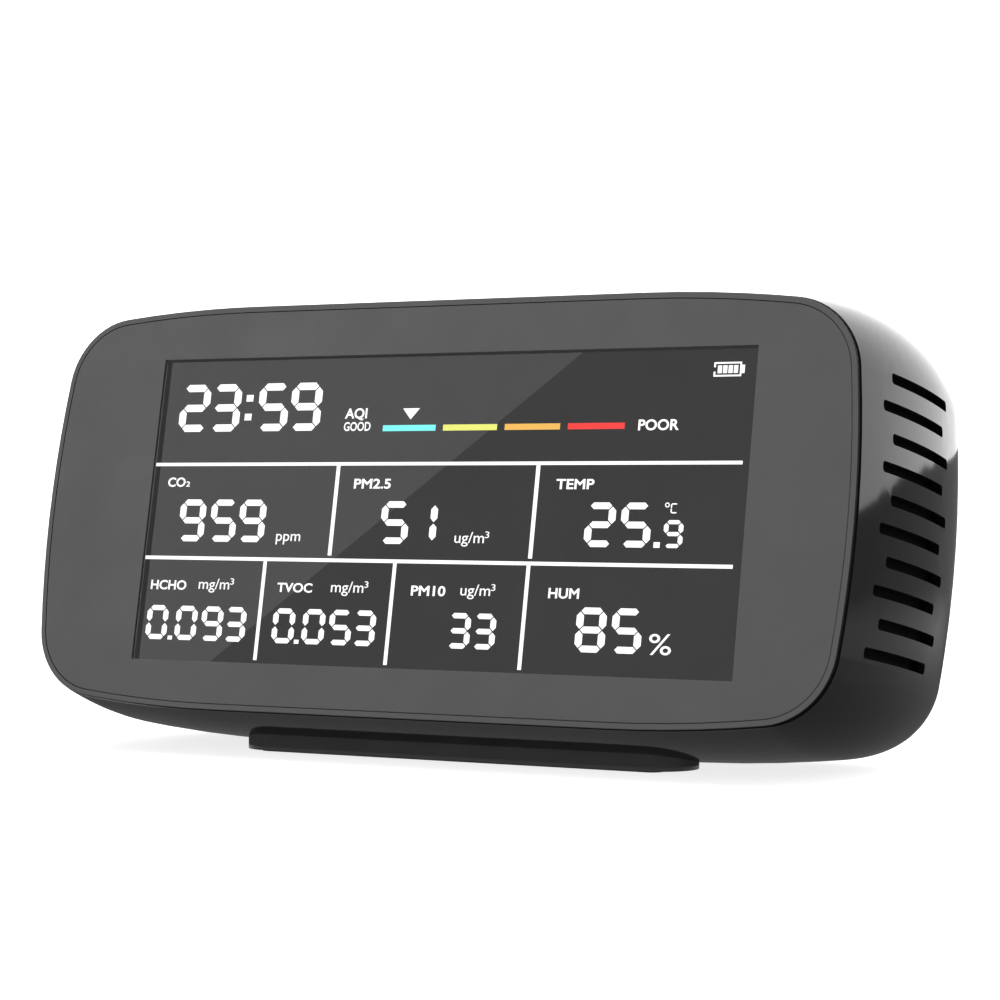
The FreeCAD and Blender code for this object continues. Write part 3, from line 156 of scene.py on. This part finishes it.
def metal(name, colour, roughness):
    """Drawn or turned metal with fine marks in one direction."""
    look = Look(name)
    stretch = look.add("ShaderNodeMapping")
    look.link(look.place, stretch.inputs["Vector"])
    stretch.inputs["Scale"].default_value = MARKS
    look.place = stretch.outputs["Vector"]
    marks = look.noise(1.0, 4, 0.6)
    tone = look.colours(marks, shade(colour, 0.85), shade(colour, 1.08))
    gloss = look.spread(marks, roughness * 0.75, roughness * 1.3)
    return look.surface(tone, gloss, look.bump(marks, 3e-6), metallic=1.0)


def dark_display_painted_glow(name, glow, specular):
    """Mirror-smooth dark glass with a painted glow: an even dim grey emission stands in for the light that
    falls on it, so the shade near the printed border does not show.
    """
    look = Look(name)
    pattern = look.noise(GLOW_SCALE, 2)
    # Painted glow: the glass between the segments emits this dim grey in place of the light and shade on
    # it.
    painted_glow_tone = look.colours(pattern, shade(glow, 0.96), glow)
    tone = look.colours(pattern, (0.001, 0.001, 0.001), (0.002, 0.002, 0.002))
    gloss = look.spread(pattern, 0.002, 0.0035)
    look.surface(tone, gloss, specular=specular)
    look.link(painted_glow_tone, look.shader.inputs["Emission Color"])
    look.shader.inputs["Emission Strength"].default_value = 1.0
    return look.material


# A wave texture of scale 1 turns through this many radians in a unit of length.
WAVE_RATE = 20


def woven(name, colour, pitch):
    """Open filter mesh: two sets of threads that cross, dark between them."""
    look = Look(name)
    heights = []
    for axis in ("Y", "Z"):
        wave = look.add("ShaderNodeTexWave", wave_type="BANDS", bands_direction=axis)
        look.link(look.place, wave.inputs["Vector"])
        wave.inputs["Scale"].default_value = math.pi * 2 / (pitch * WAVE_RATE)
        wave.inputs["Distortion"].default_value = 0.0
        heights.append(wave.outputs["Fac"])
    peak = look.add("ShaderNodeMath", operation="MAXIMUM")
    look.link(heights[0], peak.inputs[0])
    look.link(heights[1], peak.inputs[1])
    tone = look.colours(peak.outputs["Value"], shade(colour, 0.05), colour)
    gloss = look.spread(peak.outputs["Value"], 0.95, 0.75)
    return look.surface(tone, gloss, look.bump(peak.outputs["Value"], 6e-5), specular=0.05)


# Cells of copper, in repeats per metre.
COPPER_SCALE = 420


def circuit(name, colour):
    """Solder mask over copper: cells of slightly raised, lighter copper with dark gaps."""
    look = Look(name)
    cells = look.add("ShaderNodeTexVoronoi", distance="CHEBYCHEV")
    look.link(look.place, cells.inputs["Vector"])
    cells.inputs["Scale"].default_value = COPPER_SCALE
    tone = look.colours(cells.outputs["Distance"], shade(colour, 1.35), shade(colour, 0.7))
    gloss = look.spread(cells.outputs["Distance"], 0.28, 0.45)
    return look.surface(tone, gloss, look.bump(cells.outputs["Distance"], 2e-5))


# How squarely a face looks forwards, from a side to the front of the rim; between the two, the painted
# shade on the rim's sides gives way to its own grey.
SIDE_FACING, FRONT_FACING = 0.55, 0.85


def rim_plastic_painted_side_shade(name, colour, roughness):
    """Satin grey plastic with painted shade: darker in colour and shine on the sides that stand in the
    groove, and its own grey on the front.
    """
    look = Look(name)
    normal = look.add("ShaderNodeTexCoord").outputs["Normal"]
    turned = look.add("ShaderNodeVectorMath", operation="DOT_PRODUCT")
    look.link(normal, turned.inputs[0])
    turned.inputs[1].default_value = OUT
    front = look.spread(turned.outputs["Value"], 0.0, 1.0, SIDE_FACING, FRONT_FACING)
    side_shade_and_grain = look.add("ShaderNodeMath", operation="MULTIPLY")
    look.link(front, side_shade_and_grain.inputs[0])
    look.link(look.spread(look.noise(TONE_SCALE, 4), 0.9, 1.0), side_shade_and_grain.inputs[1])
    gloss = look.spread(look.noise(GLOSS_SCALE, 5, 0.6), roughness * GLOSSIEST, roughness * DULLEST)
    # Painted shade: the sides of the rim are darkened towards 8 % of the grey.
    tone = look.colours(side_shade_and_grain.outputs["Value"], shade(colour, 0.08), colour)
    material = look.surface(tone, gloss, look.bump(look.noise(6000, 2), 1.5e-6))
    # Painted shade: the sides of the rim also lose most of their shine.
    look.link(look.spread(front, 0.06, 0.5, 0.0, 1.0), look.shader.inputs["Specular IOR Level"])
    return material


GREY = (0.050, 0.050, 0.051)
looks = {
    "frame_plastic": rim_plastic_painted_side_shade("satin_grey_painted_side_shade", GREY, 0.42),
    "casing_plastic": moulded("gloss_black", (0.0035, 0.0035, 0.0038), 0.06, 900, 3e-7, swing=0.1),
    "foot_plastic": moulded("foot_black", (0.019, 0.019, 0.0195), 0.38, 5000, 4e-6, specular=0.4),
    "button_plastic": moulded("button_black", (0.014, 0.014, 0.0145), 0.34, 5000, 3e-6),
    "rubber": moulded("rubber_black", (0.012, 0.012, 0.012), 0.8, 3500, 1.2e-5, specular=0.25),
    "filter_mesh": woven("filter_weave", (0.004, 0.004, 0.004), 0.0004),
    "tape": moulded("tape_black", (0.012, 0.012, 0.012), 0.7, 2500, 8e-6, specular=0.2),
    "foam": moulded("foam_grey", (0.14, 0.14, 0.14), 0.95, 1800, 4e-5, specular=0.1),
    "display_glass": dark_display_painted_glow("display_dark_painted_glow", (0.033, 0.033, 0.0335), 0.22),
    "white_plastic": moulded("part_white", (0.72, 0.72, 0.70), 0.5, 3000, 3e-6),
    "holder_steel": metal("holder_steel", (0.55, 0.55, 0.55), 0.3),
    "flat_cable": moulded("polyimide", (0.42, 0.20, 0.04), 0.3, 2500, 3e-6),
    "circuit_board": circuit("solder_mask", (0.012, 0.11, 0.045)),
    "board_parts": moulded("component_black", (0.016, 0.016, 0.017), 0.5, 4000, 4e-6),
    "screw_steel": metal("black_zinc", (0.16, 0.16, 0.165), 0.32),
    "gold_metal": metal("gold_flash", (0.80, 0.58, 0.24), 0.22),
    "sensor_plastic": moulded("sensor_black", (0.022, 0.022, 0.024), 0.5, 4000, 4e-6),
    "sensor_steel": metal("pressed_steel", (0.55, 0.55, 0.56), 0.28),
    "cell_sleeve": moulded("sleeve_blue", (0.02, 0.10, 0.28), 0.25, 1500, 4e-6),
    "wire": moulded("wire_red", (0.36, 0.02, 0.02), 0.45, 2500, 5e-6),
    "switch_core": moulded("core_black", (0.018, 0.018, 0.018), 0.5, 4000, 4e-6),
}

for part in frame["record"]["subparts"]:
    if part["material_slot"] not in looks:
        continue
    node = frame["nodes"][part["node"]]
    if not node.material_slots:
        node.data.materials.append(None)
    for material_slot in node.material_slots:
        material_slot.material = looks[part["material_slot"]]


# ---------------------------------------------------------------- window panel

def clear_window():
    """Clear acrylic, slightly and unevenly tinted. The glass behind it carries the reflections."""
    look = Look("window_clear")
    through = look.add("ShaderNodeBsdfTransparent")
    tint = look.colours(look.noise(GLOSS_SCALE, 4), (0.975, 0.975, 0.98), (0.985, 0.985, 0.99))
    look.link(tint, through.inputs["Color"])
    look.link(through.outputs["BSDF"], look.output.inputs["Surface"])
    return look.material


def clear_back():
    """The window's back, which lets everything through."""
    look = Look("window_back")
    through = look.add("ShaderNodeBsdfTransparent")
    look.link(through.outputs["BSDF"], look.output.inputs["Surface"])
    return look.material


# Faces count as the panel's front or back above this cosine, and cuts merge points within this distance.
FLAT = 0.9
MERGE = 1e-7


def make_window_panel():
    """The panel over the face, with a printed border around a clear window."""
    source = frame["nodes"]["lens_panel"]
    mesh = source.data.copy()
    mesh.name = "window_panel"
    work = bmesh.new()
    work.from_mesh(mesh)
    edges = ((LEFT, 0, ACROSS), (RIGHT, 0, ACROSS), (0, LOW, UP_FACE), (0, HIGH, UP_FACE))
    for x, y, normal in edges:
        everything = work.verts[:] + work.edges[:] + work.faces[:]
        bmesh.ops.bisect_plane(work, geom=everything, dist=MERGE, plane_co=on_face(x, y), plane_no=normal)
    work.to_mesh(mesh)
    work.free()
    mesh.materials.clear()
    mesh.materials.append(moulded("printed_border", GREY, 0.42, 6000, 8e-7, swing=0.03))
    mesh.materials.append(clear_window())
    mesh.materials.append(clear_back())
    for face in mesh.polygons:
        offset = (face.center - FACE) / MM
        inside = LEFT < offset.dot(ACROSS) < RIGHT and LOW < offset.dot(UP_FACE) < HIGH
        facing = face.normal.dot(OUT)
        if inside and abs(facing) > FLAT:
            face.material_index = 1 if facing > 0 else 2
    panel = bpy.data.objects.new("window_panel", mesh)
    bpy.context.scene.collection.objects.link(panel)
    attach(panel, "root")
    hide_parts("lens_panel")


make_window_panel()


# ---------------------------------------------------------------- display graphics

def lit(name, colour, strength):
    """A lit segment: even, with the slight unevenness of a backlight behind it."""
    look = Look(name)
    tone = look.colours(look.noise(GLOW_SCALE, 2), shade(colour, 0.97), colour)
    shader = look.add("ShaderNodeBsdfPrincipled")
    shader.inputs["Base Color"].default_value = (0.02, 0.02, 0.02, 1)
    shader.inputs["Roughness"].default_value = 0.5
    shader.inputs["Specular IOR Level"].default_value = 0.1
    shader.inputs["Emission Strength"].default_value = strength
    look.link(tone, shader.inputs["Emission Color"])
    look.link(shader.outputs["BSDF"], look.output.inputs["Surface"])
    return look.material


WHITE = lit("segment_white", (1.0, 1.0, 1.0), 1.25)
# The graphics lie behind the window, and are moved so that they stand in the right place in its frame
# when they are seen from the camera.
VIEW_SHIFT = -0.6 * GLASS_DEPTH
VIEW_RISE = 0.19 * GLASS_DEPTH
# Thickness of the graphics in millimetres, and how far a letter reaches to either side of its middle
# plane before it is flattened to that.
FILM = 0.03
LETTER_EXTRUSION = 0.01


def publish(name, mesh, material):
    """Add a mesh to the scene as a piece of the display."""
    mesh.materials.clear()
    mesh.materials.append(material)
    piece = bpy.data.objects.new(name, mesh)
    bpy.context.scene.collection.objects.link(piece)
    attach(piece, "root")


def film(name, outlines, material=WHITE):
    """Thin lit shapes on the display glass, each an outline in millimetres on the face."""
    work = bmesh.new()
    for outline in outlines:
        rings = []
        for depth in (GLASS_DEPTH - FILM, GLASS_DEPTH):
            places = [on_face(x + VIEW_SHIFT, y + VIEW_RISE, depth) for x, y in outline]
            rings.append([work.verts.new(place) for place in places])
        front, back = rings
        work.faces.new(front)
        work.faces.new(back[::-1])
        for index in range(len(outline)):
            following = (index + 1) % len(outline)
            work.faces.new((front[index], back[index], back[following], front[following]))
    bmesh.ops.recalc_face_normals(work, faces=work.faces[:])
    mesh = bpy.data.meshes.new(name)
    work.to_mesh(mesh)
    work.free()
    publish(name, mesh, material)


def bar(x0, y0, x1, y1):
    """Outline of an upright rectangle between two corners."""
    return [(x0, y0), (x1, y0), (x1, y1), (x0, y1)]


# Segments that are lit for each symbol: a, g and d lie across from the top down, b and c stand on the
# right, f and e on the left.
SEGMENTS = {
    "0": "abcdef", "1": "bc", "2": "abged", "3": "abgcd", "5": "afgcd", "8": "abcdefg", "9": "abcdfg",
    "C": "adef",
}


def digit(symbol, left, top, width, height, thick_up, thick_across, gap=0.15):
    """Outlines of one seven-segment digit."""
    up = thick_up / 2
    flat = thick_across / 2
    near = left + up
    far = left + width - up
    high = top - flat
    low = top - height + flat
    middle = (high + low) / 2

    def across(y):
        start = near + gap
        end = far - gap
        return [
            (start, y), (start + flat, y + flat), (end - flat, y + flat),
            (end, y), (end - flat, y - flat), (start + flat, y - flat),
        ]

    def upwards(x, y0, y1):
        start = y0 + gap
        end = y1 - gap
        return [
            (x, start), (x + up, start + up), (x + up, end - up),
            (x, end), (x - up, end - up), (x - up, start + up),
        ]

    shapes = {
        "a": across(high), "g": across(middle), "d": across(low),
        "b": upwards(far, middle, high), "c": upwards(far, low, middle),
        "f": upwards(near, middle, high), "e": upwards(near, low, middle),
    }
    return [shapes[key] for key in SEGMENTS[symbol]]


def reading(name, symbols, lefts, top, width, height, thick_up, thick_across, extra=()):
    """A row of digits of one size, with any points or colon as extra outlines."""
    outlines = list(extra)
    for symbol, left in zip(symbols, lefts):
        outlines += digit(symbol, left, top, width, height, thick_up, thick_across)
    film(name, outlines)


def label(name, words, left, right, low, high, weight=0.0, sample="H"):
    """Lettering in the built-in font between two sides, with the sample letter between two heights."""
    curve = bpy.data.curves.new(name, "FONT")
    curve.body = words
    curve.size = 1.0
    curve.extrude = LETTER_EXTRUSION
    curve.bevel_depth = weight
    curve.bevel_resolution = 0
    curve.resolution_u = 4
    text = bpy.data.objects.new(name + "_text", curve)
    measure_curve = curve.copy()
    measure_curve.body = sample
    measure = bpy.data.objects.new(name + "_sample", measure_curve)
    for item in (text, measure):
        bpy.context.scene.collection.objects.link(item)
    bpy.context.view_layer.update()
    graph = bpy.context.evaluated_depsgraph_get()
    mesh = bpy.data.meshes.new_from_object(text.evaluated_get(graph))
    tall = bpy.data.meshes.new_from_object(measure.evaluated_get(graph))
    capital = max(vertex.co.y for vertex in tall.vertices)
    start = min(vertex.co.x for vertex in mesh.vertices)
    end = max(vertex.co.x for vertex in mesh.vertices)
    for item in (text, measure):
        bpy.data.objects.remove(item)
    bpy.data.meshes.remove(tall)
    wide = (right - left) / (end - start)
    rise = (high - low) / capital
    for vertex in mesh.vertices:
        x = left + (vertex.co.x - start) * wide + VIEW_SHIFT
        y = low + vertex.co.y * rise + VIEW_RISE
        height = (vertex.co.z / (LETTER_EXTRUSION + weight) + 1) / 2
        vertex.co = on_face(x, y, GLASS_DEPTH - FILM * height)
    mesh.name = name
    publish(name, mesh, WHITE)


# Weight that makes the letters bold, as a share of their size.
BOLD = 0.022

# Rules between the fields: two across at their heights, the others upright, and half the width of each.
UPPER_RULE, LOWER_RULE = 8.1, -10.25
UPPER_HALF, LOWER_HALF = 0.32, 0.34
UPPER_POST_HALF, LOWER_POST_HALF = 0.4, 0.38
rules = [
    bar(-60.5, UPPER_RULE - UPPER_HALF, 63.9, UPPER_RULE + UPPER_HALF),
    bar(-60.6, LOWER_RULE - LOWER_HALF, 63.6, LOWER_RULE + LOWER_HALF),
]
for x in (-18.55, 23.9):
    rules.append(bar(x - UPPER_POST_HALF, -9.35, x + UPPER_POST_HALF, UPPER_RULE - UPPER_HALF))
for x in (-32.7, -4.15, 23.75):
    rules.append(bar(x - LOWER_POST_HALF, -29.5, x + LOWER_POST_HALF, LOWER_RULE - LOWER_HALF))
film("display_rules", rules)

# Clock.
colon = [bar(-41.0, low, -39.45, low + 1.3) for low in (20.4, 16.7)]
reading("reading_clock", "2359", (-56.3, -49.1, -38.1, -30.7), 23.9, 6.9, 9.35, 1.62, 1.42, colon)

# Readings.
reading("reading_gas", "959", (-53.55, -46.3, -39.7), 1.2, 6.0, 8.2, 1.42, 1.2)
reading("reading_fine_dust", "51", (-8.1, -2.1), 1.0, 6.0, 8.0, 1.42, 1.2)
reading("reading_temperature", "25", (34.35, 41.4), 0.95, 5.95, 8.05, 1.42, 1.2,
        [bar(48.15, -7.1, 49.35, -6.1)])
reading("reading_tenths", "9", (49.9,), -2.15, 3.75, 4.95, 0.9, 0.72)
reading("reading_aldehyde", "0093", (-58.55, -51.75, -45.8, -40.55), -19.55, 4.92, 6.6, 1.18, 0.98,
        [bar(-53.2, -26.15, -52.2, -25.4)])
reading("reading_vapour", "0053", (-29.55, -22.9, -17.05, -11.9), -19.55, 4.9, 6.6, 1.18, 0.98,
        [bar(-24.4, -26.15, -23.4, -25.4)])
reading("reading_coarse_dust", "33", (8.25, 13.45), -19.55, 4.78, 6.5, 1.16, 0.98)
reading("reading_humidity", "85", (34.35, 41.4), -17.95, 5.92, 8.0, 1.42, 1.2)

# Scale of air quality, with its marker.
BAR_LENGTH, BAR_TALL, BAR_PITCH, BAR_LEFT, BAR_LOW = 11.35, 1.13, 12.95, -9.7, 14.3
BAR_COLOURS = (
    ("scale_cyan", (0.22, 1.0, 0.96)),
    ("scale_yellow", (0.87, 0.91, 0.19)),
    ("scale_orange", (0.93, 0.51, 0.10)),
    ("scale_red", (0.95, 0.045, 0.040)),
)
for index, (name, colour) in enumerate(BAR_COLOURS):
    left = BAR_LEFT + BAR_PITCH * index
    outline = bar(left, BAR_LOW, left + BAR_LENGTH, BAR_LOW + BAR_TALL)
    film(name, [outline], lit(name + "_light", colour, 1.05))
film("scale_marker", [[(-5.7, 18.6), (-3.9, 16.5), (-2.1, 18.6)]])

# Battery symbol: four cells in a shell with a gap on its left and a knob on its right.
CELL_LEFT, CELL_WIDTH, CELL_PITCH = 57.75, 0.8, 1.03
cells = []
for index in range(4):
    left = CELL_LEFT + CELL_PITCH * index
    cells.append(bar(left, 24.1, left + CELL_WIDTH, 25.5))
shell = [
    bar(57.0, 25.8, 62.3, 26.1), bar(57.0, 23.5, 62.3, 23.8), bar(57.0, 25.2, 57.35, 25.8),
    bar(57.0, 23.8, 57.35, 24.4), bar(62.0, 23.8, 62.3, 25.8), bar(62.3, 24.05, 62.9, 25.55),
]
film("battery_symbol", cells + shell)

# Degree mark and its letter, drawn in thin strokes.
RING_X, RING_Y = 50.2, 0.55
RING_INNER, RING_OUTER = 0.26, 0.45
RING_STEPS = 16
ring = []
for index in range(RING_STEPS):
    start, end = (2 * math.pi * (index + offset) / RING_STEPS for offset in (0, 1))
    corners = ((RING_INNER, start), (RING_OUTER, start), (RING_OUTER, end), (RING_INNER, end))
    ring.append([
        (RING_X + radius * math.cos(angle), RING_Y + radius * math.sin(angle)) for radius, angle in corners
    ])
letter = digit("C", 50.9, 0.85, 1.35, 1.8, 0.24, 0.22, gap=0.02)
film("degree_mark", ring + letter)

# Names and units.
label("name_index", "AQI", -18.3, -13.45, 16.85, 18.75, BOLD)
label("name_good", "GOOD", -18.3, -12.45, 14.45, 16.1, BOLD * 0.7)
label("name_poor", "POOR", 43.2, 51.15, 14.05, 15.95, BOLD)
label("name_gas", "CO", -57.2, -53.1, 3.75, 5.5, BOLD)
label("name_gas_index", "2", -52.9, -52.0, 3.75, 4.75, BOLD * 0.8, "2")
label("name_fine_dust", "PM2.5", -14.75, -6.75, 3.45, 5.25, BOLD)
label("name_temperature", "TEMP", 27.85, 35.5, 3.4, 5.2, BOLD)
label("name_aldehyde", "HCHO", -58.5, -50.2, -16.4, -14.65, BOLD)
label("name_vapour", "TVOC", -29.4, -21.6, -16.4, -14.7, BOLD)
label("name_coarse_dust", "PM10", -0.15, 7.1, -16.5, -14.7, BOLD)
label("name_humidity", "HUM", 28.25, 34.4, -16.4, -14.6, BOLD)
label("unit_gas", "ppm", -30.85, -25.45, -6.7, -4.7)
for name, words, left, right, low in (
    ("unit_fine_dust", "ug/m", 7.95, 14.1, -6.65),
    ("unit_aldehyde", "mg/m", -47.3, -40.3, -16.2),
    ("unit_vapour", "mg/m", -17.45, -10.4, -16.25),
    ("unit_coarse_dust", "ug/m", 10.25, 16.4, -16.3),
):
    label(name, words, left, right, low, low + 2.0)
    label(name + "_power", "3", right + 0.15, right + 1.0, low + 0.95, low + 2.15, 0.0, "3")
label("unit_humidity", "%", 48.85, 53.2, -25.95, -22.3, 0.0, "%")


# ---------------------------------------------------------------- room, light and camera

def staged(name, work, material):
    """Add a shape that belongs to the studio and not to the device."""
    mesh = bpy.data.meshes.new(name)
    work.to_mesh(mesh)
    work.free()
    mesh.materials.append(material)
    item = bpy.data.objects.new(name, mesh)
    bpy.context.scene.collection.objects.link(item)
    return item


def pale_floor():
    """Pale and evenly lit, so that it meets the white room without an edge and keeps a faint shadow."""
    look = Look("floor_pale")
    tone = look.colours(look.noise(40, 3), (0.50, 0.50, 0.50), (0.52, 0.52, 0.52))
    shader = look.add("ShaderNodeBsdfPrincipled")
    look.link(tone, shader.inputs["Base Color"])
    shader.inputs["Roughness"].default_value = 0.8
    shader.inputs["Specular IOR Level"].default_value = 0.0
    shader.inputs["Emission Color"].default_value = (1, 1, 1, 1)
    shader.inputs["Emission Strength"].default_value = 0.8
    look.link(shader.outputs["BSDF"], look.output.inputs["Surface"])
    return look.material


def make_floor():
    """A floor that reaches far beyond the picture."""
    work = bmesh.new()
    bmesh.ops.create_grid(work, x_segments=8, y_segments=8, size=12.0)
    staged("floor", work, pale_floor())


def dim_card():
    """Dim grey that stands for the ground in reflections, darkest under the device and to its left."""
    look = Look("card_dim")
    distance = look.add("ShaderNodeVectorMath", operation="LENGTH")
    look.link(look.place, distance.inputs[0])
    reach = look.add("ShaderNodeValToRGB")
    look.link(distance.outputs["Value"], reach.inputs["Fac"])
    ramp = reach.color_ramp
    # Distance from the device in metres, and the brightness there.
    stops = ((0.17, 0.27), (0.24, 0.40), (0.32, 0.42), (0.55, 0.2))
    for position, _ in stops[2:]:
        ramp.elements.new(position)
    for element, (position, level) in zip(ramp.elements, stops):
        element.position = position
        element.color = (level, level, level, 1)
    darker = look.spread(distance.outputs["Value"], 0.12, 0.2, 0.2, 0.55)
    sides = look.add("ShaderNodeSeparateXYZ")
    look.link(look.place, sides.inputs[0])
    # The dark part gives way to the brighter one between these distances right of the middle.
    dark_until, bright_from = 0.07, 0.12
    blend = look.add("ShaderNodeMix", data_type="FLOAT")
    share = look.spread(sides.outputs["X"], 0.0, 1.0, dark_until, bright_from)
    look.link(share, blend.inputs["Factor"])
    look.link(darker, blend.inputs["A"])
    look.link(reach.outputs["Color"], blend.inputs["B"])
    glow = look.add("ShaderNodeEmission")
    look.link(blend.outputs["Result"], glow.inputs["Strength"])
    look.link(glow.outputs["Emission"], look.output.inputs["Surface"])
    return look.material


def make_dim_card():
    """Round card on the floor with its rim turned up behind, which shows only in reflections."""
    middle = Vector((0.088, 0, 0.001))
    radius = 2.5
    sight_height = 0.05
    # Direction from the middle, and how far the rim rises there, both in degrees.
    rim = (
        (0, 1.6), (38, 1.6), (43, 2.2), (46, 2.8), (49, 3.1), (53, 3.3), (60, 3.3),
        (67, 3.1), (75, 2.65), (88, 1.95), (118, 1.0), (180, 1.0),
    )

    def on_circle(direction):
        angle = math.radians(direction)
        return middle + Vector((math.cos(angle), math.sin(angle), 0)) * radius

    work = bmesh.new()
    low = []
    high = []
    for direction, rise in rim:
        place = on_circle(direction)
        low.append(work.verts.new(place))
        top = sight_height + radius * math.tan(math.radians(rise))
        high.append(work.verts.new(place + Vector((0, 0, top))))
    for index in range(len(rim) - 1):
        work.faces.new((low[index], low[index + 1], high[index + 1], high[index]))
    front = [work.verts.new(on_circle(direction)) for direction in range(210, 360, 30)]
    work.faces.new(low + front)
    card = staged("dim_card", work, dim_card())
    card.visible_camera = False
    card.visible_diffuse = False
    card.visible_transmission = False
    card.visible_shadow = False


def softbox(name, centre, side, up, width, height, brightness):
    """A light of one brightness all over, its width along side, that shines against side x up."""
    lamp = bpy.data.lights.new(name, "AREA")
    lamp.shape = "RECTANGLE"
    lamp.size = width
    lamp.size_y = height
    lamp.energy = brightness * math.pi * width * height
    item = bpy.data.objects.new(name, lamp)
    back = side.cross(up).normalized()
    turn = Matrix((side.normalized(), back.cross(side).normalized(), back)).transposed().to_4x4()
    item.matrix_world = Matrix.Translation(centre) @ turn
    item.visible_camera = False
    bpy.context.scene.collection.objects.link(item)


# Where the camera stands and which way it looks, as the photo's perspective gives them.
EYE = Vector((254.8, -464.1, 49.0)) * MM
AHEAD = Vector((-0.4795, 0.8776, 0)).normalized()


def mirrored(x, y):
    """A point of the face, and the direction in which a line of sight that meets it is reflected."""
    point = on_face(x, y)
    sight = (point - EYE).normalized()
    return point, sight - 2 * sight.dot(OUT) * OUT


def make_window_card():
    """The light whose slanted edge shows across the display."""
    distance = 1.3
    brightness = 1.75
    middle, axis = mirrored(-6, -0.5)
    plane = middle + axis * distance

    def landing(x, y):
        """Where a line of sight that meets the face meets the light's plane after its bounce."""
        point, bounce = mirrored(x, y)
        return point + bounce * ((plane - point).dot(axis) / bounce.dot(axis))

    # The edge crosses the display from its top, right of the middle, to its bottom, on the left.
    start = landing(30.9, HIGH)
    end = landing(-43.3, LOW)
    corner = landing(LEFT, HIGH)
    edge = (end - start).normalized()
    away = corner - start
    away -= away.dot(edge) * edge
    # The light reaches past the display's corners on all sides but this edge.
    depth = away.length * 1.25
    away.normalize()
    length = (end - start).length * 1.5
    centre = (start + end) / 2 + away * depth / 2
    side = edge
    if side.cross(away).dot(axis) < 0:
        side = -edge
    softbox("window_card", centre, side, away, length, depth, brightness)


def make_room():
    """White all round, and brighter behind the device on its right, with a soft light above."""
    bright_direction = math.radians(65)
    world = bpy.data.worlds.new("studio")
    bpy.context.scene.world = world
    world.use_nodes = True
    tree = world.node_tree
    backdrop = tree.nodes["Background"]
    backdrop.inputs["Color"].default_value = (1.0, 1.0, 1.0, 1)
    place = tree.nodes.new("ShaderNodeTexCoord")
    along = tree.nodes.new("ShaderNodeVectorMath")
    along.operation = "DOT_PRODUCT"
    along.inputs[1].default_value = (math.cos(bright_direction), math.sin(bright_direction), 0)
    level = tree.nodes.new("ShaderNodeMapRange")
    for socket, value in (("From Min", 0.05), ("From Max", 0.3), ("To Min", 1.0), ("To Max", 1.95)):
        level.inputs[socket].default_value = value
    tree.links.new(place.outputs["Generated"], along.inputs[0])
    tree.links.new(along.outputs["Value"], level.inputs["Value"])
    tree.links.new(level.outputs["Result"], backdrop.inputs["Strength"])
    softbox("top_softbox", Vector((0, 0, 2.2)), Vector((1, 0, 0)), Vector((0, 1, 0)), 3.0, 3.0, 0.6)


def make_camera():
    """The photo's viewpoint and focal length."""
    lens = bpy.data.cameras.new("camera")
    lens.lens = 98.9
    lens.sensor_width = 36.0
    lens.clip_start = 0.01
    lens.clip_end = 100.0
    camera = bpy.data.objects.new("camera", lens)
    side = AHEAD.cross(Vector((0, 0, 1))).normalized()
    turn = Matrix((side, side.cross(AHEAD), -AHEAD)).transposed().to_4x4()
    roll = Matrix.Rotation(math.radians(0.22), 4, "Z")
    camera.matrix_world = Matrix.Translation(EYE) @ turn @ roll
    bpy.context.scene.collection.objects.link(camera)
    bpy.context.scene.camera = camera


make_floor()
make_dim_card()
make_window_card()
make_room()
make_camera()
bpy.context.scene.view_settings.view_transform = "Standard"
